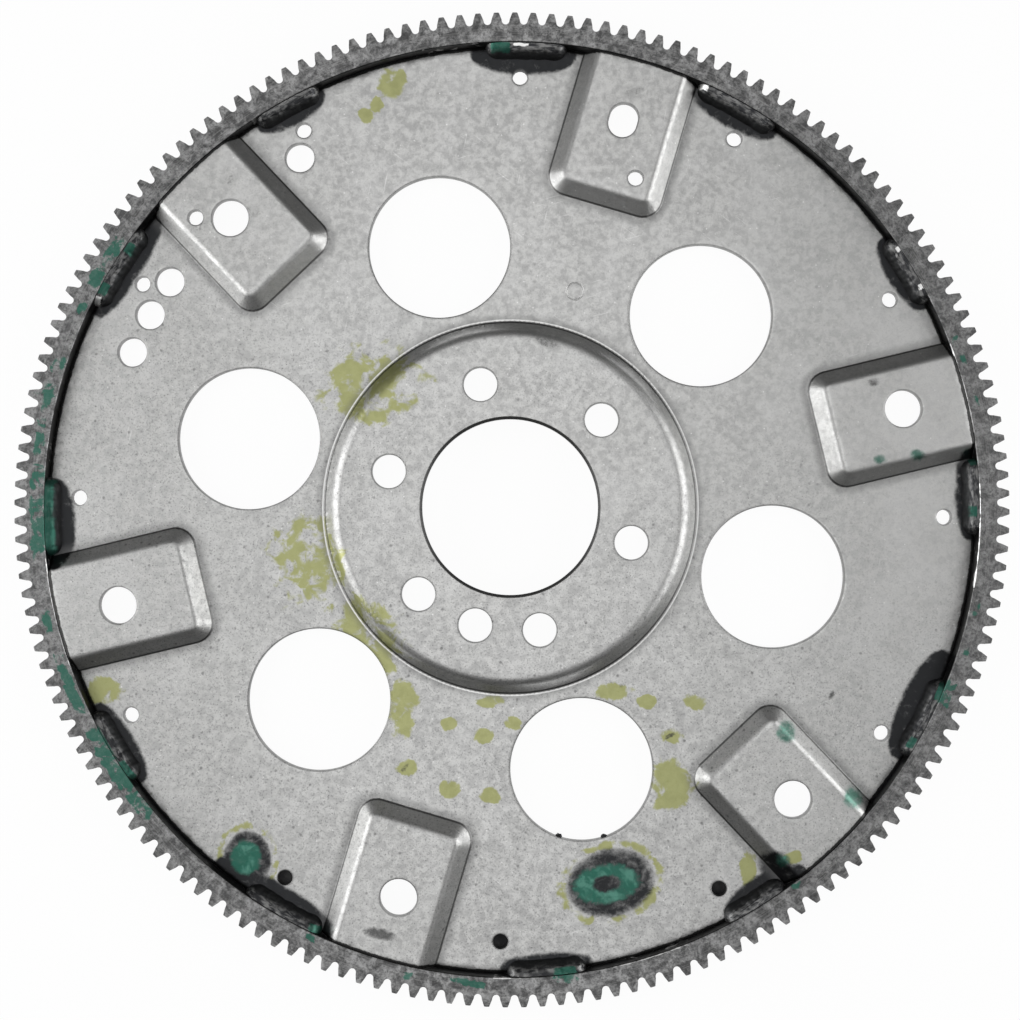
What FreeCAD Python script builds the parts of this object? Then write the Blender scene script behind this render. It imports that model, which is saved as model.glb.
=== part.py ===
import FreeCAD, Part
import math
import os

import Sketcher
from FreeCAD import Placement, Rotation, Vector

# Flexplate of a V8 engine: a stamped disc welded inside a toothed starter ring.
# Millimetres, +Z up. The origin is on the axis, in the lower face of the ring gear,
# so the part lies on its engine side and the converter side looks up.

# Each driving dimension, written once: name, value, what it is
SIZES = [
    ("sheet_thickness", 2.6, "gauge of the stamped disc"),
    ("disc_height", 3.2, "underside of the web above the ring's lower face"),
    ("rim_clearance", 0.1, "gap between the disc's edge and the ring"),
    ("shoulder_bevel", 1.8, "bevel between a wall and the flat top of the hub or a pad"),
    ("bore_radius", 31.7, "pilot bore for the crankshaft"),
    ("bore_edge_break", 1.0, "chamfer of the bore on the converter side"),
    ("hub_height", 7.6, "rise of the hub above the web"),
    ("hub_foot_radius", 67.8, "crease where the hub's wall meets the web"),
    ("hub_wall_taper", 21, "slope of the hub's wall from upright, degrees"),
    ("pad_count", 6, "converter pads"),
    ("pad_angle", 14.05, "first pad, degrees from +X"),
    ("pad_height", 5.6, "rise of the pads above the web"),
    ("pad_width", 43.6, "pad across its foot"),
    ("pad_start_radius", 114.6, "inner foot of a pad from the axis"),
    ("pad_corner_radius", 7.5, "corner of a pad at its foot"),
    ("pad_wall_taper", 36, "slope of a pad's walls from upright, degrees"),
    ("window_count", 6, "lightening holes"),
    ("window_angle", 45.2, "first window, degrees"),
    ("window_circle_radius", 98.7, "centres of the windows"),
    ("window_radius", 25.85, "lightening hole"),
    ("crank_bolt_count", 6, "bolts into the crankshaft flange"),
    ("crank_bolt_angle", 43.58, "first crank bolt hole, degrees"),
    ("crank_bolt_circle", 90.93, "pitch circle diameter of the crank bolts"),
    ("crank_hole_diameter", 12.1, "crank bolt hole"),
    ("dowel_hole_angle", -106.4, "dowel hole of the hub, degrees"),
    ("dowel_circle_radius", 44.3, "centre of the dowel hole from the axis"),
    ("dowel_hole_diameter", 12.1, "dowel hole of the hub"),
    ("converter_bolt_circle", 292.1, "pitch circle diameter of the converter bolts"),
    ("converter_hole_diameter", 13.3, "converter bolt hole"),
    ("converter_slot_width", 10.3, "slotted converter hole, across"),
    ("converter_slot_travel", 2.2, "how much longer the slotted hole is than wide"),
    ("slotted_pad", 1, "pads to count on from the first to reach the slotted one"),
    ("rim_hole_count", 12, "small holes near the rim"),
    ("rim_hole_angle", 28.7, "first rim hole, degrees"),
    ("rim_hole_inset", 11.2, "centres of the rim holes in from the disc's edge"),
    ("small_hole_diameter", 5.4, "rim holes and the gauge holes in the pads"),
    ("gauge_hole_inset", 19.2, "centres of the middle-sized holes in from the edge"),
    ("gauge_hole_diameter", 10.5, "middle-sized hole"),
    ("tooth_count", 168, "teeth of the starter ring"),
    ("tooth_module", 25.4 / 12, "pitch diameter divided by the teeth"),
    ("tooth_addendum", 25.4 / 14, "tooth above the pitch circle"),
    ("tooth_dedendum", 2.6, "tooth below the pitch circle"),
    ("pressure_angle", 20, "of the involute, degrees"),
    ("tooth_backlash", 0.2, "thinning of a tooth at the pitch circle"),
    ("tooth_angle", -0.55, "first tooth, degrees"),
    ("lead_in", 1.4, "bevel of the teeth for the starter pinion, along the radius"),
    ("lead_in_slope", 45, "slope of that bevel from upright, degrees"),
    ("ring_width", 11.1, "ring gear along the axis"),
    ("ring_body_depth", 6.3, "ring gear below the tooth roots"),
    ("ring_weld_step", 0.4, "ring's upper face above the top of a ring weld"),
    ("weight_floor_gap", 0.2, "balance weight above the ring's lower face"),
    ("weight_half_width", 94.4, "upright ends of the plate from the middle"),
    ("weight_edge_gap", 4.4, "gap between the plate's outer edge and the ring"),
    ("weight_depth", 25.5, "plate between its inner and outer edges"),
    ("weight_corner_bevel", 2.0, "corners of the plate"),
    ("notch_radius", 13.0, "room in the plate round a converter bolt"),
    ("notched_pad", 4, "pads to count on from the first to reach the notched one"),
    ("weight_weld_leg", 2.6, "fillet weld between plate and disc"),
    ("left_weld_inset", 9.45, "middle of the left end's weld in from the outer corner"),
    ("left_weld_length", 17.0, "weld at the left end of the plate, overall"),
    ("right_weld_inset", 2.75, "middle of the right end's weld in from the outer corner"),
    ("right_weld_length", 9.5, "weld at the right end of the plate, overall"),
    ("inner_weld_angle", -75, "middle of the inner edge's weld, degrees"),
    ("inner_weld_length", 23.0, "weld on the plate's inner edge, overall"),
]

# The welds of the ring, laid by hand: degrees on from the first pad, overall length
RING_WELDS = [
    (-12.75, 28.0),
    (16.65, 27.5),
    (46.45, 32.0),
    (73.95, 30.0),
    (104.95, 26.0),
    (134.45, 33.0),
    (167.05, 29.0),
    (197.05, 29.0),
    (226.65, 31.5),
    (260.45, 29.0),
    (287.75, 25.5),
    (318.95, 31.0),
]

# Middle-sized holes, degrees, and small holes in pads: in from the edge, and degrees
GAUGE_HOLES = [121.02, 146.46, 151.85, 157.66]
PAD_GAUGE_HOLES = [(13.7, 137.36), (41.4, 69.12)]

# Levels and radii that several pieces share, as rules over the sizes
WEB_TOP = "(Sizes.disc_height + Sizes.sheet_thickness)"
HUB_TOP = f"({WEB_TOP} + Sizes.hub_height)"
PITCH_RADIUS = "(Sizes.tooth_count * Sizes.tooth_module / 2)"
TIP_RADIUS = f"({PITCH_RADIUS} + Sizes.tooth_addendum)"
RING_INNER = f"({PITCH_RADIUS} - Sizes.tooth_dedendum - Sizes.ring_body_depth)"
DISC_RADIUS = f"({RING_INNER} - Sizes.rim_clearance)"
CRANK_CIRCLE = "(Sizes.crank_bolt_circle / 2)"
CONVERTER_CIRCLE = "(Sizes.converter_bolt_circle / 2)"
PAD_SPACING = "(360 / Sizes.pad_count)"
RING_WELD_LEG = f"(Sizes.ring_width - Sizes.ring_weld_step - {WEB_TOP})"
WEIGHT_OUTER = f"({RING_INNER} - Sizes.weight_edge_gap)"
WEIGHT_INNER = f"({WEIGHT_OUTER} - Sizes.weight_depth)"

CLOSE = 1e-4  # lengths that are this near are the same

doc = FreeCAD.newDocument("Flexplate")


def fill_sheet():
    """Write the driving dimensions into the spreadsheet."""
    table = doc.addObject("Spreadsheet::Sheet", "Sizes")
    rows = list(SIZES)
    for number, (middle, length) in enumerate(RING_WELDS, 1):
        rows.append((f"weld_middle_{number:02d}", middle, "middle of a ring weld from the pad"))
        rows.append((f"weld_length_{number:02d}", length, "ring weld, overall"))
    for number, angle in enumerate(GAUGE_HOLES, 1):
        rows.append((f"gauge_angle_{number:02d}", angle, "middle-sized hole, degrees"))
    for number, (inset, angle) in enumerate(PAD_GAUGE_HOLES, 1):
        rows.append((f"pad_gauge_inset_{number:02d}", inset, "small hole in a pad, from the edge"))
        rows.append((f"pad_gauge_angle_{number:02d}", angle, "small hole in a pad, degrees"))
    for row, (alias, value, meaning) in enumerate(rows, 1):
        table.set(f"A{row}", alias)
        table.set(f"B{row}", str(value))
        table.set(f"C{row}", meaning)
        table.setAlias(f"B{row}", alias)
    doc.recompute()
    return table


sheet = fill_sheet()


def size(rule):
    """Give the present value of a rule over the sizes."""
    return float(sheet.evalExpression(rule))


def around(radius, degrees):
    """Give the pair of rules of a point at a radius and an angle."""
    return f"{radius} * cos({degrees})", f"{radius} * sin({degrees})"


# Sketches whose points and radii follow rules


def add_sketch(body, name, plane, height="0", turn="0"):
    """Put a sketch on one of the body's origin planes, raised and turned by rules."""
    sketch = body.newObject("Sketcher::SketchObject", name)
    support = next(item for item in body.Origin.OriginFeatures if item.Role == plane)
    sketch.AttachmentSupport = (support, [""])
    sketch.MapMode = "FlatFace"
    sketch.AttachmentOffset = Placement(Vector(0, 0, size(height)), Rotation(Vector(0, 0, 1), 90))
    sketch.setExpression("AttachmentOffset.Base.z", height)
    sketch.setExpression("AttachmentOffset.Rotation.Angle", turn)
    return sketch


def bind(sketch, kind, where, rule):
    """Add a constraint whose value follows a rule."""
    index = sketch.addConstraint(Sketcher.Constraint(kind, *where, size(rule)))
    sketch.setExpression(f"Constraints[{index}]", rule)


def bind_point(sketch, element, end, rules):
    """Tie a point of an element to a pair of rules."""
    bind(sketch, "DistanceX", (-1, 1, element, end), rules[0])
    bind(sketch, "DistanceY", (-1, 1, element, end), rules[1])


def present(rules):
    """Give the point that a pair of rules stands for."""
    return Vector(size(rules[0]), size(rules[1]), 0)


def add_circle(sketch, centre, radius):
    """Draw a circle whose centre and radius follow rules."""
    circle = Part.Circle(present(centre), Vector(0, 0, 1), size(radius))
    element = sketch.addGeometry(circle)
    bind_point(sketch, element, 3, centre)
    bind(sketch, "Radius", (element,), radius)


def add_arc(sketch, start, end, centre):
    """Draw an arc, the shorter way round its centre, and give its ends in order."""
    middle = present(centre)
    first = present(start) - middle
    last = present(end) - middle
    angles = [math.atan2(first.y, first.x), math.atan2(last.y, last.x)]
    forward = (angles[1] - angles[0]) % (2 * math.pi) <= math.pi + CLOSE
    if not forward:
        angles.reverse()
    circle = Part.Circle(middle, Vector(0, 0, 1), first.Length)
    element = sketch.addGeometry(Part.ArcOfCircle(circle, *angles))
    chord = last - first
    if abs(chord.y) >= abs(chord.x):
        bind(sketch, "DistanceX", (-1, 1, element, 3), centre[0])
    else:
        bind(sketch, "DistanceY", (-1, 1, element, 3), centre[1])
    ends = (1, 2) if forward else (2, 1)
    return element, *ends


def add_outline(sketch, points, centres=None):
    """Draw a closed outline through points that are pairs of rules.

    The stretch that leaves a point is straight, or an arc if centres names the
    centre that belongs to the point's number.
    """
    centres = centres or {}
    pieces = []
    for number, start in enumerate(points):
        end = points[(number + 1) % len(points)]
        if number in centres:
            pieces.append(add_arc(sketch, start, end, centres[number]))
            continue
        line = Part.LineSegment(present(start), present(end))
        pieces.append((sketch.addGeometry(line), 1, 2))
    for number, (element, start, end) in enumerate(pieces):
        following = pieces[(number + 1) % len(pieces)]
        joint = Sketcher.Constraint("Coincident", element, end, following[0], following[1])
        sketch.addConstraint(joint)
        bind_point(sketch, element, start, points[number])


# Features of a body


def add_body(label):
    """Start a body that makes one piece."""
    body = doc.addObject("PartDesign::Body", label.title().replace("_", ""))
    body.Label = label
    return body


def add_feature(body, kind, name, sketch, **settings):
    """Add a feature that is driven by a sketch."""
    feature = body.newObject(f"PartDesign::{kind}", name)
    feature.Profile = sketch
    for setting, value in settings.items():
        setattr(feature, setting, value)
    sketch.Visibility = False
    return feature


def cut_through(body, name, sketch):
    """Cut a sketch of the XY plane out of everything above it."""
    before = body.Shape.Volume
    pocket = add_feature(body, "Pocket", name, sketch, Type="ThroughAll", Reversed=True)
    doc.recompute()
    if pocket.Shape.Volume > before - CLOSE:
        raise RuntimeError(f"{name} cuts nothing")
    return pocket


def repeat(body, name, features, count, angle="360"):
    """Repeat features round the axis, a count and an angle that follow rules."""
    pattern = body.newObject("PartDesign::PolarPattern", name)
    pattern.Originals = features
    axis = next(item for item in body.Origin.OriginFeatures if item.Role == "Z_Axis")
    pattern.Axis = (axis, [""])
    pattern.setExpression("Occurrences", count)
    pattern.setExpression("Angle", angle)
    body.Tip = pattern
    doc.recompute()
    return pattern


def bevel_edges(body, name, length, wanted):
    """Bevel the edges of the body's tip that a test picks."""
    base = body.Tip
    edges = enumerate(base.Shape.Edges, 1)
    names = [f"Edge{number}" for number, edge in edges if wanted(edge)]
    bevel = body.newObject("PartDesign::Chamfer", name)
    bevel.Base = (base, names)
    bevel.setExpression("Size", length)
    doc.recompute()
    return bevel


# The disc: a stamping with a raised hub, six raised pads and its holes


def sheet_inset(taper):
    """Rule for how far a wall's inside corner lies from its outside corner."""
    return f"Sizes.sheet_thickness * tan((90 - {taper}) / 2)"


def add_hub_and_web(body):
    """Turn the section of the hub, its wall and the flat web."""
    run = "Sizes.hub_height * tan(Sizes.hub_wall_taper)"
    inside_foot = f"Sizes.hub_foot_radius - {sheet_inset('Sizes.hub_wall_taper')}"
    underside = "Sizes.disc_height + Sizes.hub_height"
    section = add_sketch(body, "HubSection", "XZ_Plane")
    add_outline(section, [
        ("Sizes.bore_radius", underside),
        (f"{inside_foot} - {run}", underside),
        (inside_foot, "Sizes.disc_height"),
        (DISC_RADIUS, "Sizes.disc_height"),
        (DISC_RADIUS, WEB_TOP),
        ("Sizes.hub_foot_radius", WEB_TOP),
        (f"Sizes.hub_foot_radius - {run}", HUB_TOP),
        ("Sizes.bore_radius + Sizes.bore_edge_break", HUB_TOP),
        ("Sizes.bore_radius", f"{HUB_TOP} - Sizes.bore_edge_break"),
    ])
    turned = add_feature(body, "Revolution", "HubAndWeb", section)
    turned.ReferenceAxis = (section, ["V_Axis"])
    turned.Angle = 360
    doc.recompute()


def pad_foot(body, name, height, inset):
    """Sketch the foot of the first pad at a height, drawn in by an inset."""
    sketch = add_sketch(body, name, "XY_Plane", height, "Sizes.pad_angle")
    side = f"(Sizes.pad_width / 2 - {inset})"
    start = f"(Sizes.pad_start_radius + {inset})"
    corner = f"(Sizes.pad_corner_radius - {inset})"
    beyond = f"{DISC_RADIUS} + Sizes.pad_width / 2"
    points = [
        (beyond, f"-{side}"),
        (beyond, side),
        (f"{start} + {corner}", side),
        (start, f"{side} - {corner}"),
        (start, f"{corner} - {side}"),
        (f"{start} + {corner}", f"-{side}"),
    ]
    centres = {
        2: (f"{start} + {corner}", f"{side} - {corner}"),
        4: (f"{start} + {corner}", f"{corner} - {side}"),
    }
    add_outline(sketch, points, centres)
    return sketch


def add_pads(body):
    """Raise the pads: each is drawn out of the web and open at the rim."""
    outside = pad_foot(body, "PadOutside", WEB_TOP, "0")
    raised = add_feature(body, "Pad", "RaisedPad", outside)
    raised.setExpression("Length", "Sizes.pad_height")
    raised.setExpression("TaperAngle", "-Sizes.pad_wall_taper")
    doc.recompute()
    inside = pad_foot(body, "PadInside", "Sizes.disc_height", sheet_inset("Sizes.pad_wall_taper"))
    hollow = add_feature(body, "Pocket", "PadHollow", inside, Reversed=True)
    hollow.setExpression("Length", "Sizes.pad_height")
    hollow.setExpression("TaperAngle", "-Sizes.pad_wall_taper")
    doc.recompute()
    repeat(body, "Pads", [raised, hollow], "Sizes.pad_count")
    ring = add_sketch(body, "OutsideTheRim", "XY_Plane")
    add_circle(ring, ("0", "0"), DISC_RADIUS)
    add_circle(ring, ("0", "0"), f"{DISC_RADIUS} + Sizes.pad_width")
    cut_through(body, "TrimmedRim", ring)


def bevel_shoulders(body):
    """Bevel the hub and the pads where their walls meet their flat tops."""
    rim = size(DISC_RADIUS) - CLOSE
    bore = size("Sizes.bore_radius + Sizes.bore_edge_break") + CLOSE
    tops = [size(HUB_TOP), size(f"{WEB_TOP} + Sizes.pad_height")]

    def shoulder(edge):
        """Test for a level edge of a top that is neither at the rim nor at the bore."""
        box = edge.BoundBox
        level = box.ZLength < CLOSE and any(abs(box.ZMin - top) < CLOSE for top in tops)
        middle = edge.valueAt((edge.FirstParameter + edge.LastParameter) / 2)
        return level and bore < math.hypot(middle.x, middle.y) < rim

    bevel_edges(body, "Shoulders", "Sizes.shoulder_bevel", shoulder)


def drill(body, name, diameter, *centres):
    """Drill like holes right through, round centres that are pairs of rules."""
    sketch = add_sketch(body, f"{name}Outline", "XY_Plane")
    for centre in centres:
        add_circle(sketch, centre, f"{diameter} / 2")
    return cut_through(body, name, sketch)


def add_holes(body):
    """Cut the windows, the bolt holes and the small holes."""
    window = drill(body, "Window", "2 * Sizes.window_radius",
                   around("Sizes.window_circle_radius", "Sizes.window_angle"))
    repeat(body, "Windows", [window], "Sizes.window_count")
    crank = drill(body, "CrankHole", "Sizes.crank_hole_diameter",
                  around(CRANK_CIRCLE, "Sizes.crank_bolt_angle"))
    repeat(body, "CrankHoles", [crank], "Sizes.crank_bolt_count")
    drill(body, "DowelHole", "Sizes.dowel_hole_diameter",
          around("Sizes.dowel_circle_radius", "Sizes.dowel_hole_angle"))
    round_pad = f"(Sizes.pad_angle + (Sizes.slotted_pad + 1) * {PAD_SPACING})"
    bolt = drill(body, "ConverterHole", "Sizes.converter_hole_diameter",
                 around(CONVERTER_CIRCLE, round_pad))
    repeat(body, "ConverterHoles", [bolt], "Sizes.pad_count - 1",
           f"(Sizes.pad_count - 2) * {PAD_SPACING}")
    add_slot(body)
    rim_circle = f"({DISC_RADIUS} - Sizes.rim_hole_inset)"
    rim = drill(body, "RimHole", "Sizes.small_hole_diameter",
                around(rim_circle, "Sizes.rim_hole_angle"))
    repeat(body, "RimHoles", [rim], "Sizes.rim_hole_count")
    gauge_circle = f"({DISC_RADIUS} - Sizes.gauge_hole_inset)"
    gauges = range(1, len(GAUGE_HOLES) + 1)
    places = [around(gauge_circle, f"Sizes.gauge_angle_{number:02d}") for number in gauges]
    drill(body, "GaugeHoles", "Sizes.gauge_hole_diameter", *places)
    places = []
    for number in range(1, len(PAD_GAUGE_HOLES) + 1):
        circle = f"({DISC_RADIUS} - Sizes.pad_gauge_inset_{number:02d})"
        places.append(around(circle, f"Sizes.pad_gauge_angle_{number:02d}"))
    drill(body, "PadGaugeHoles", "Sizes.small_hole_diameter", *places)


def add_slot(body):
    """Cut the one converter hole that is a slot along the radius."""
    turn = f"Sizes.pad_angle + Sizes.slotted_pad * {PAD_SPACING}"
    sketch = add_sketch(body, "SlotOutline", "XY_Plane", "0", turn)
    half = "Sizes.converter_slot_width / 2"
    shift = "Sizes.converter_slot_travel / 2"
    inner = f"{CONVERTER_CIRCLE} - {shift}"
    outer = f"{CONVERTER_CIRCLE} + {shift}"
    points = [(inner, f"-{half}"), (outer, f"-{half}"), (outer, half), (inner, half)]
    add_outline(sketch, points, {1: (outer, "0"), 3: (inner, "0")})
    cut_through(body, "ConverterSlot", sketch)


def make_disc():
    """Make the stamped disc."""
    body = add_body("flexplate_disc")
    add_hub_and_web(body)
    add_pads(body)
    bevel_shoulders(body)
    add_holes(body)
    return body


# The ring gear: stub involute teeth on a plain ring


def tooth_outline():
    """Draw the teeth as one closed wire.

    A flank is the chord of its involute, which the true curve leaves by 0.04 mm.
    """
    count = round(size("Sizes.tooth_count"))
    pitch_radius = size(PITCH_RADIUS)
    tip_radius = size(TIP_RADIUS)
    root_radius = size(f"{PITCH_RADIUS} - Sizes.tooth_dedendum")
    pressure = math.radians(size("Sizes.pressure_angle"))
    thickness = math.pi * pitch_radius / count - size("Sizes.tooth_backlash")
    first = math.radians(size("Sizes.tooth_angle"))
    pitch = 2 * math.pi / count

    def half_angle(radius):
        """Angle from a tooth's middle to its flank at a radius."""
        roll = math.acos(pitch_radius * math.cos(pressure) / radius)
        involute = math.tan(roll) - roll
        at_pitch = math.tan(pressure) - pressure
        return thickness / 2 / pitch_radius + at_pitch - involute

    at_root = half_angle(root_radius)
    at_tip = half_angle(tip_radius)
    section = [
        (root_radius, -at_root),
        (tip_radius, -at_tip),
        (tip_radius, at_tip),
        (root_radius, at_root),
    ]
    points = []
    for number in range(count):
        middle = first + number * pitch
        for radius, angle in section:
            place = Vector(radius * math.cos(middle + angle), radius * math.sin(middle + angle), 0)
            points.append(place)
    return Part.makePolygon(points + points[:1])


def add_cone(name, height, bottom_radius, top_radius, z="0"):
    """Add a cone or, with equal radii, a cylinder, whose sizes follow rules."""
    same = bottom_radius == top_radius
    solid = doc.addObject("Part::Cylinder" if same else "Part::Cone", name)
    radii = {"Radius": bottom_radius}
    if not same:
        radii = {"Radius1": bottom_radius, "Radius2": top_radius}
    for key, rule in {**radii, "Height": height, "Placement.Base.z": z}.items():
        solid.setExpression(key, rule)
    return solid


def add_boolean(kind, name, base, tool):
    """Combine two objects into one."""
    result = doc.addObject(f"Part::{kind}", name)
    result.Base = base
    result.Tool = tool
    return result


def extrude(name, outline, taper="0"):
    """Raise an outline over the ring's width, spreading by a taper in degrees."""
    solid = doc.addObject("Part::Extrusion", name)
    solid.Base = outline
    solid.Dir = Vector(0, 0, 1)
    solid.DirMode = "Custom"
    solid.Solid = True
    solid.setExpression("LengthFwd", "Sizes.ring_width")
    solid.setExpression("TaperAngle", taper)
    return solid


def make_ring_gear():
    """Make the starter ring; a flat bevel on each tooth leads the pinion in."""
    outline = doc.addObject("Part::Feature", "ToothOutline")
    outline.Shape = tooth_outline()
    facets = doc.addObject("Part::RegularPolygon", "LeadInOutline")
    facets.Placement = Placement(Vector(0, 0, 0), Rotation(Vector(0, 0, 1), 90))
    half_pitch = "180 / Sizes.tooth_count"
    facets.setExpression("Polygon", "Sizes.tooth_count")
    facets.setExpression("Circumradius", f"({TIP_RADIUS} - Sizes.lead_in) / cos({half_pitch})")
    facets.setExpression("Placement.Rotation.Angle", f"Sizes.tooth_angle + {half_pitch}")
    blank = extrude("Blank", facets, "Sizes.lead_in_slope")
    inside = add_cone("RingInside", "Sizes.ring_width", RING_INNER, RING_INNER)
    bored = add_boolean("Cut", "BoredBlank", blank, inside)
    ring = add_boolean("Common", "StarterRingGear", extrude("Teeth", outline), bored)
    ring.Label = "starter_ring_gear"
    return ring


# Welds: beads of three-cornered section that fill the corner between two pieces


def make_arc_weld(label, radius, bottom, leg, foot_below, middle, length):
    """Lay a weld along the inside of a round edge.

    All but label and foot_below are rules; foot_below is true where the sheet that
    the bead stands on is under it, and false where it hangs from the sheet.
    """
    name = label.title().replace("_", "")
    sweep = f"({length} / {radius} * 180 / pi)"
    fill = add_cone(f"{name}Fill", leg, radius, radius, bottom)
    fill.Placement = Placement(fill.Placement.Base, Rotation(Vector(0, 0, 1), 90))
    fill.setExpression("Angle", sweep)
    fill.setExpression("Placement.Rotation.Angle", f"{middle} - {sweep} / 2")
    toe = f"{radius} - {leg}"
    radii = (toe, radius) if foot_below else (radius, toe)
    hollow = add_cone(f"{name}Hollow", leg, *radii, bottom)
    weld = add_boolean("Cut", name, fill, hollow)
    weld.Label = label
    return weld


def make_ring_welds():
    """Lay the welds between the disc's top and the ring's inner wall."""
    welds = []
    for number in range(1, len(RING_WELDS) + 1):
        middle = f"(Sizes.pad_angle + Sizes.weld_middle_{number:02d})"
        length = f"Sizes.weld_length_{number:02d}"
        weld = make_arc_weld(f"ring_weld_{number:02d}", RING_INNER, WEB_TOP, RING_WELD_LEG,
                             True, middle, length)
        welds.append(weld)
    return welds


def make_end_weld(label, side, inset, length):
    """Lay a weld along an upright end of the weight; side is 1 or -1."""
    leg = "Sizes.weight_weld_leg"
    corner = f"sqrt(pow({WEIGHT_OUTER}; 2) - pow(Sizes.weight_half_width; 2))"
    weld = doc.addObject("Part::Wedge", label.title().replace("_", ""))
    weld.Label = label
    weld.Placement = Placement(Vector(0, 0, 0), Rotation(Vector(1, 0, 0), -90))
    rules = {
        "Xmin": "0" if side > 0 else f"-{leg}",
        "Xmax": leg if side > 0 else "0",
        "X2min": "0",
        "X2max": "0",
        "Ymin": "0",
        "Ymax": leg,
        "Zmin": "0",
        "Zmax": length,
        "Z2min": "0",
        "Z2max": length,
        "Placement.Base.x": f"{side} * Sizes.weight_half_width",
        "Placement.Base.y": f"{inset} - {corner} - {length} / 2",
        "Placement.Base.z": "Sizes.disc_height",
    }
    for key, rule in rules.items():
        weld.setExpression(key, rule)
    return weld


def make_weight_welds():
    """Lay the three welds that hold the weight under the web."""
    leg = "Sizes.weight_weld_leg"
    inner = make_arc_weld("weight_weld_inner", WEIGHT_INNER, f"Sizes.disc_height - {leg}", leg,
                          False, "Sizes.inner_weld_angle", "Sizes.inner_weld_length")
    left = make_end_weld("weight_weld_left", -1, "Sizes.left_weld_inset",
                         "Sizes.left_weld_length")
    right = make_end_weld("weight_weld_right", 1, "Sizes.right_weld_inset",
                          "Sizes.right_weld_length")
    return [left, inner, right]


# The balance weight: a plate under the web, on the heavy side


def make_weight():
    """Make the plate with its notch for a converter bolt."""
    body = add_body("balance_weight")
    outline = add_sketch(body, "WeightOutline", "XY_Plane", "Sizes.weight_floor_gap")
    half = "Sizes.weight_half_width"
    outer = f"-sqrt(pow({WEIGHT_OUTER}; 2) - pow({half}; 2))"
    inner = f"-sqrt(pow({WEIGHT_INNER}; 2) - pow({half}; 2))"
    points = [(f"-{half}", outer), (half, outer), (half, inner), (f"-{half}", inner)]
    add_outline(outline, points, {0: ("0", "0"), 2: ("0", "0")})
    plate = add_feature(body, "Pad", "Plate", outline)
    plate.setExpression("Length", "Sizes.disc_height - Sizes.weight_floor_gap")
    doc.recompute()
    ends = size(half)

    def upright_corner(edge):
        """Test for the upright edges at the plate's four corners."""
        box = edge.BoundBox
        return box.ZLength > CLOSE and abs(abs(box.XMin) - ends) < CLOSE

    bevel_edges(body, "PlateCorners", "Sizes.weight_corner_bevel", upright_corner)
    notch = add_sketch(body, "NotchOutline", "XY_Plane")
    place = around(CONVERTER_CIRCLE, f"(Sizes.pad_angle + Sizes.notched_pad * {PAD_SPACING})")
    add_circle(notch, place, "Sizes.notch_radius")
    cut_through(body, "Notch", notch)
    return body


def check(pieces):
    """Refuse a failed object, and a piece that is not one valid solid."""
    for item in doc.Objects:
        if {"Invalid", "Error"} & set(item.State):
            raise RuntimeError(f"{item.Name} failed: {item.State}")
    for piece in pieces:
        shape = piece.Shape
        if shape.isNull() or not shape.isValid() or len(shape.Solids) != 1:
            raise RuntimeError(f"{piece.Label} is not one valid solid")


def main():
    """Build the pieces and write each to its own file."""
    pieces = [make_disc(), make_ring_gear()]
    pieces += make_ring_welds()
    pieces.append(make_weight())
    pieces += make_weight_welds()
    doc.recompute()
    check(pieces)
    os.makedirs("parts", exist_ok=True)
    for piece in pieces:
        piece.Shape.exportStep(f"parts/{piece.Label}.step")
        solid = piece.Shape
        print(f"{piece.Label}: {solid.Volume / 1000:.3f} cm3, {len(solid.Faces)} faces")


main()
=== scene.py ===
"""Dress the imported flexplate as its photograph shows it."""
import logging
import math
from dataclasses import dataclass, field
from enum import Enum, IntEnum
from functools import cached_property
from typing import Callable, Iterable, Sequence

import bpy
import numpy as np
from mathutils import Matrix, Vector, noise
from mathutils.geometry import delaunay_2d_cdt
from mathutils.kdtree import KDTree


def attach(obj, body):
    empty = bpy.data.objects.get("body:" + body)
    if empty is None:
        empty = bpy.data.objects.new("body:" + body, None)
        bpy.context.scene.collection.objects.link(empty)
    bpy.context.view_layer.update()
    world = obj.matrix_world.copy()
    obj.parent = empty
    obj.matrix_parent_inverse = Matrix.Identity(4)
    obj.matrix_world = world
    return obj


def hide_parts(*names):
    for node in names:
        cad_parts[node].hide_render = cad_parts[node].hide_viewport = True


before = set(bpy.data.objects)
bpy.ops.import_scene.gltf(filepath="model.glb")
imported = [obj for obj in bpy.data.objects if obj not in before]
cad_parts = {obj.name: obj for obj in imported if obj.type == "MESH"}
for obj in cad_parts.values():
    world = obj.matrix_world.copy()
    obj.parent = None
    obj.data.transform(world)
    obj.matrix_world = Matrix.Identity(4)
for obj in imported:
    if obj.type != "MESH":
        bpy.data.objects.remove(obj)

MM = 0.001
LINE_REACH = 8.0  # farthest distance in millimetres that the disc's attribute "lines" tells
Array = np.ndarray
Point = tuple[float, float]
Triple = tuple[float, float, float]
Colour = tuple[float, float, float, float]
Corner = Callable[[float], tuple[Array, Array, Array]]

log = logging.getLogger("flexplate")


def direction(degrees: float) -> Point:
    """Give the unit vector at an angle from +X, anticlockwise."""
    return math.cos(math.radians(degrees)), math.sin(math.radians(degrees))


def polar(radius: float, degrees: float) -> Point:
    """Place a point by its distance from the axis and its angle from +X."""
    x, y = direction(degrees)
    return radius * x, radius * y


def turned_frame(x: Array, y: Array, degrees: float) -> tuple[Array, Array]:
    """Measure how far points lie along a direction and to its left."""
    c, s = direction(degrees)
    return x * c + y * s, -x * s + y * c


def smoothstep(values: Array, low: float, high: float) -> Array:
    """Ramp softly from 0 at low to 1 at high."""
    t = np.clip((values - low) / (high - low), 0.0, 1.0)
    return t * t * (3.0 - 2.0 * t)


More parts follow.
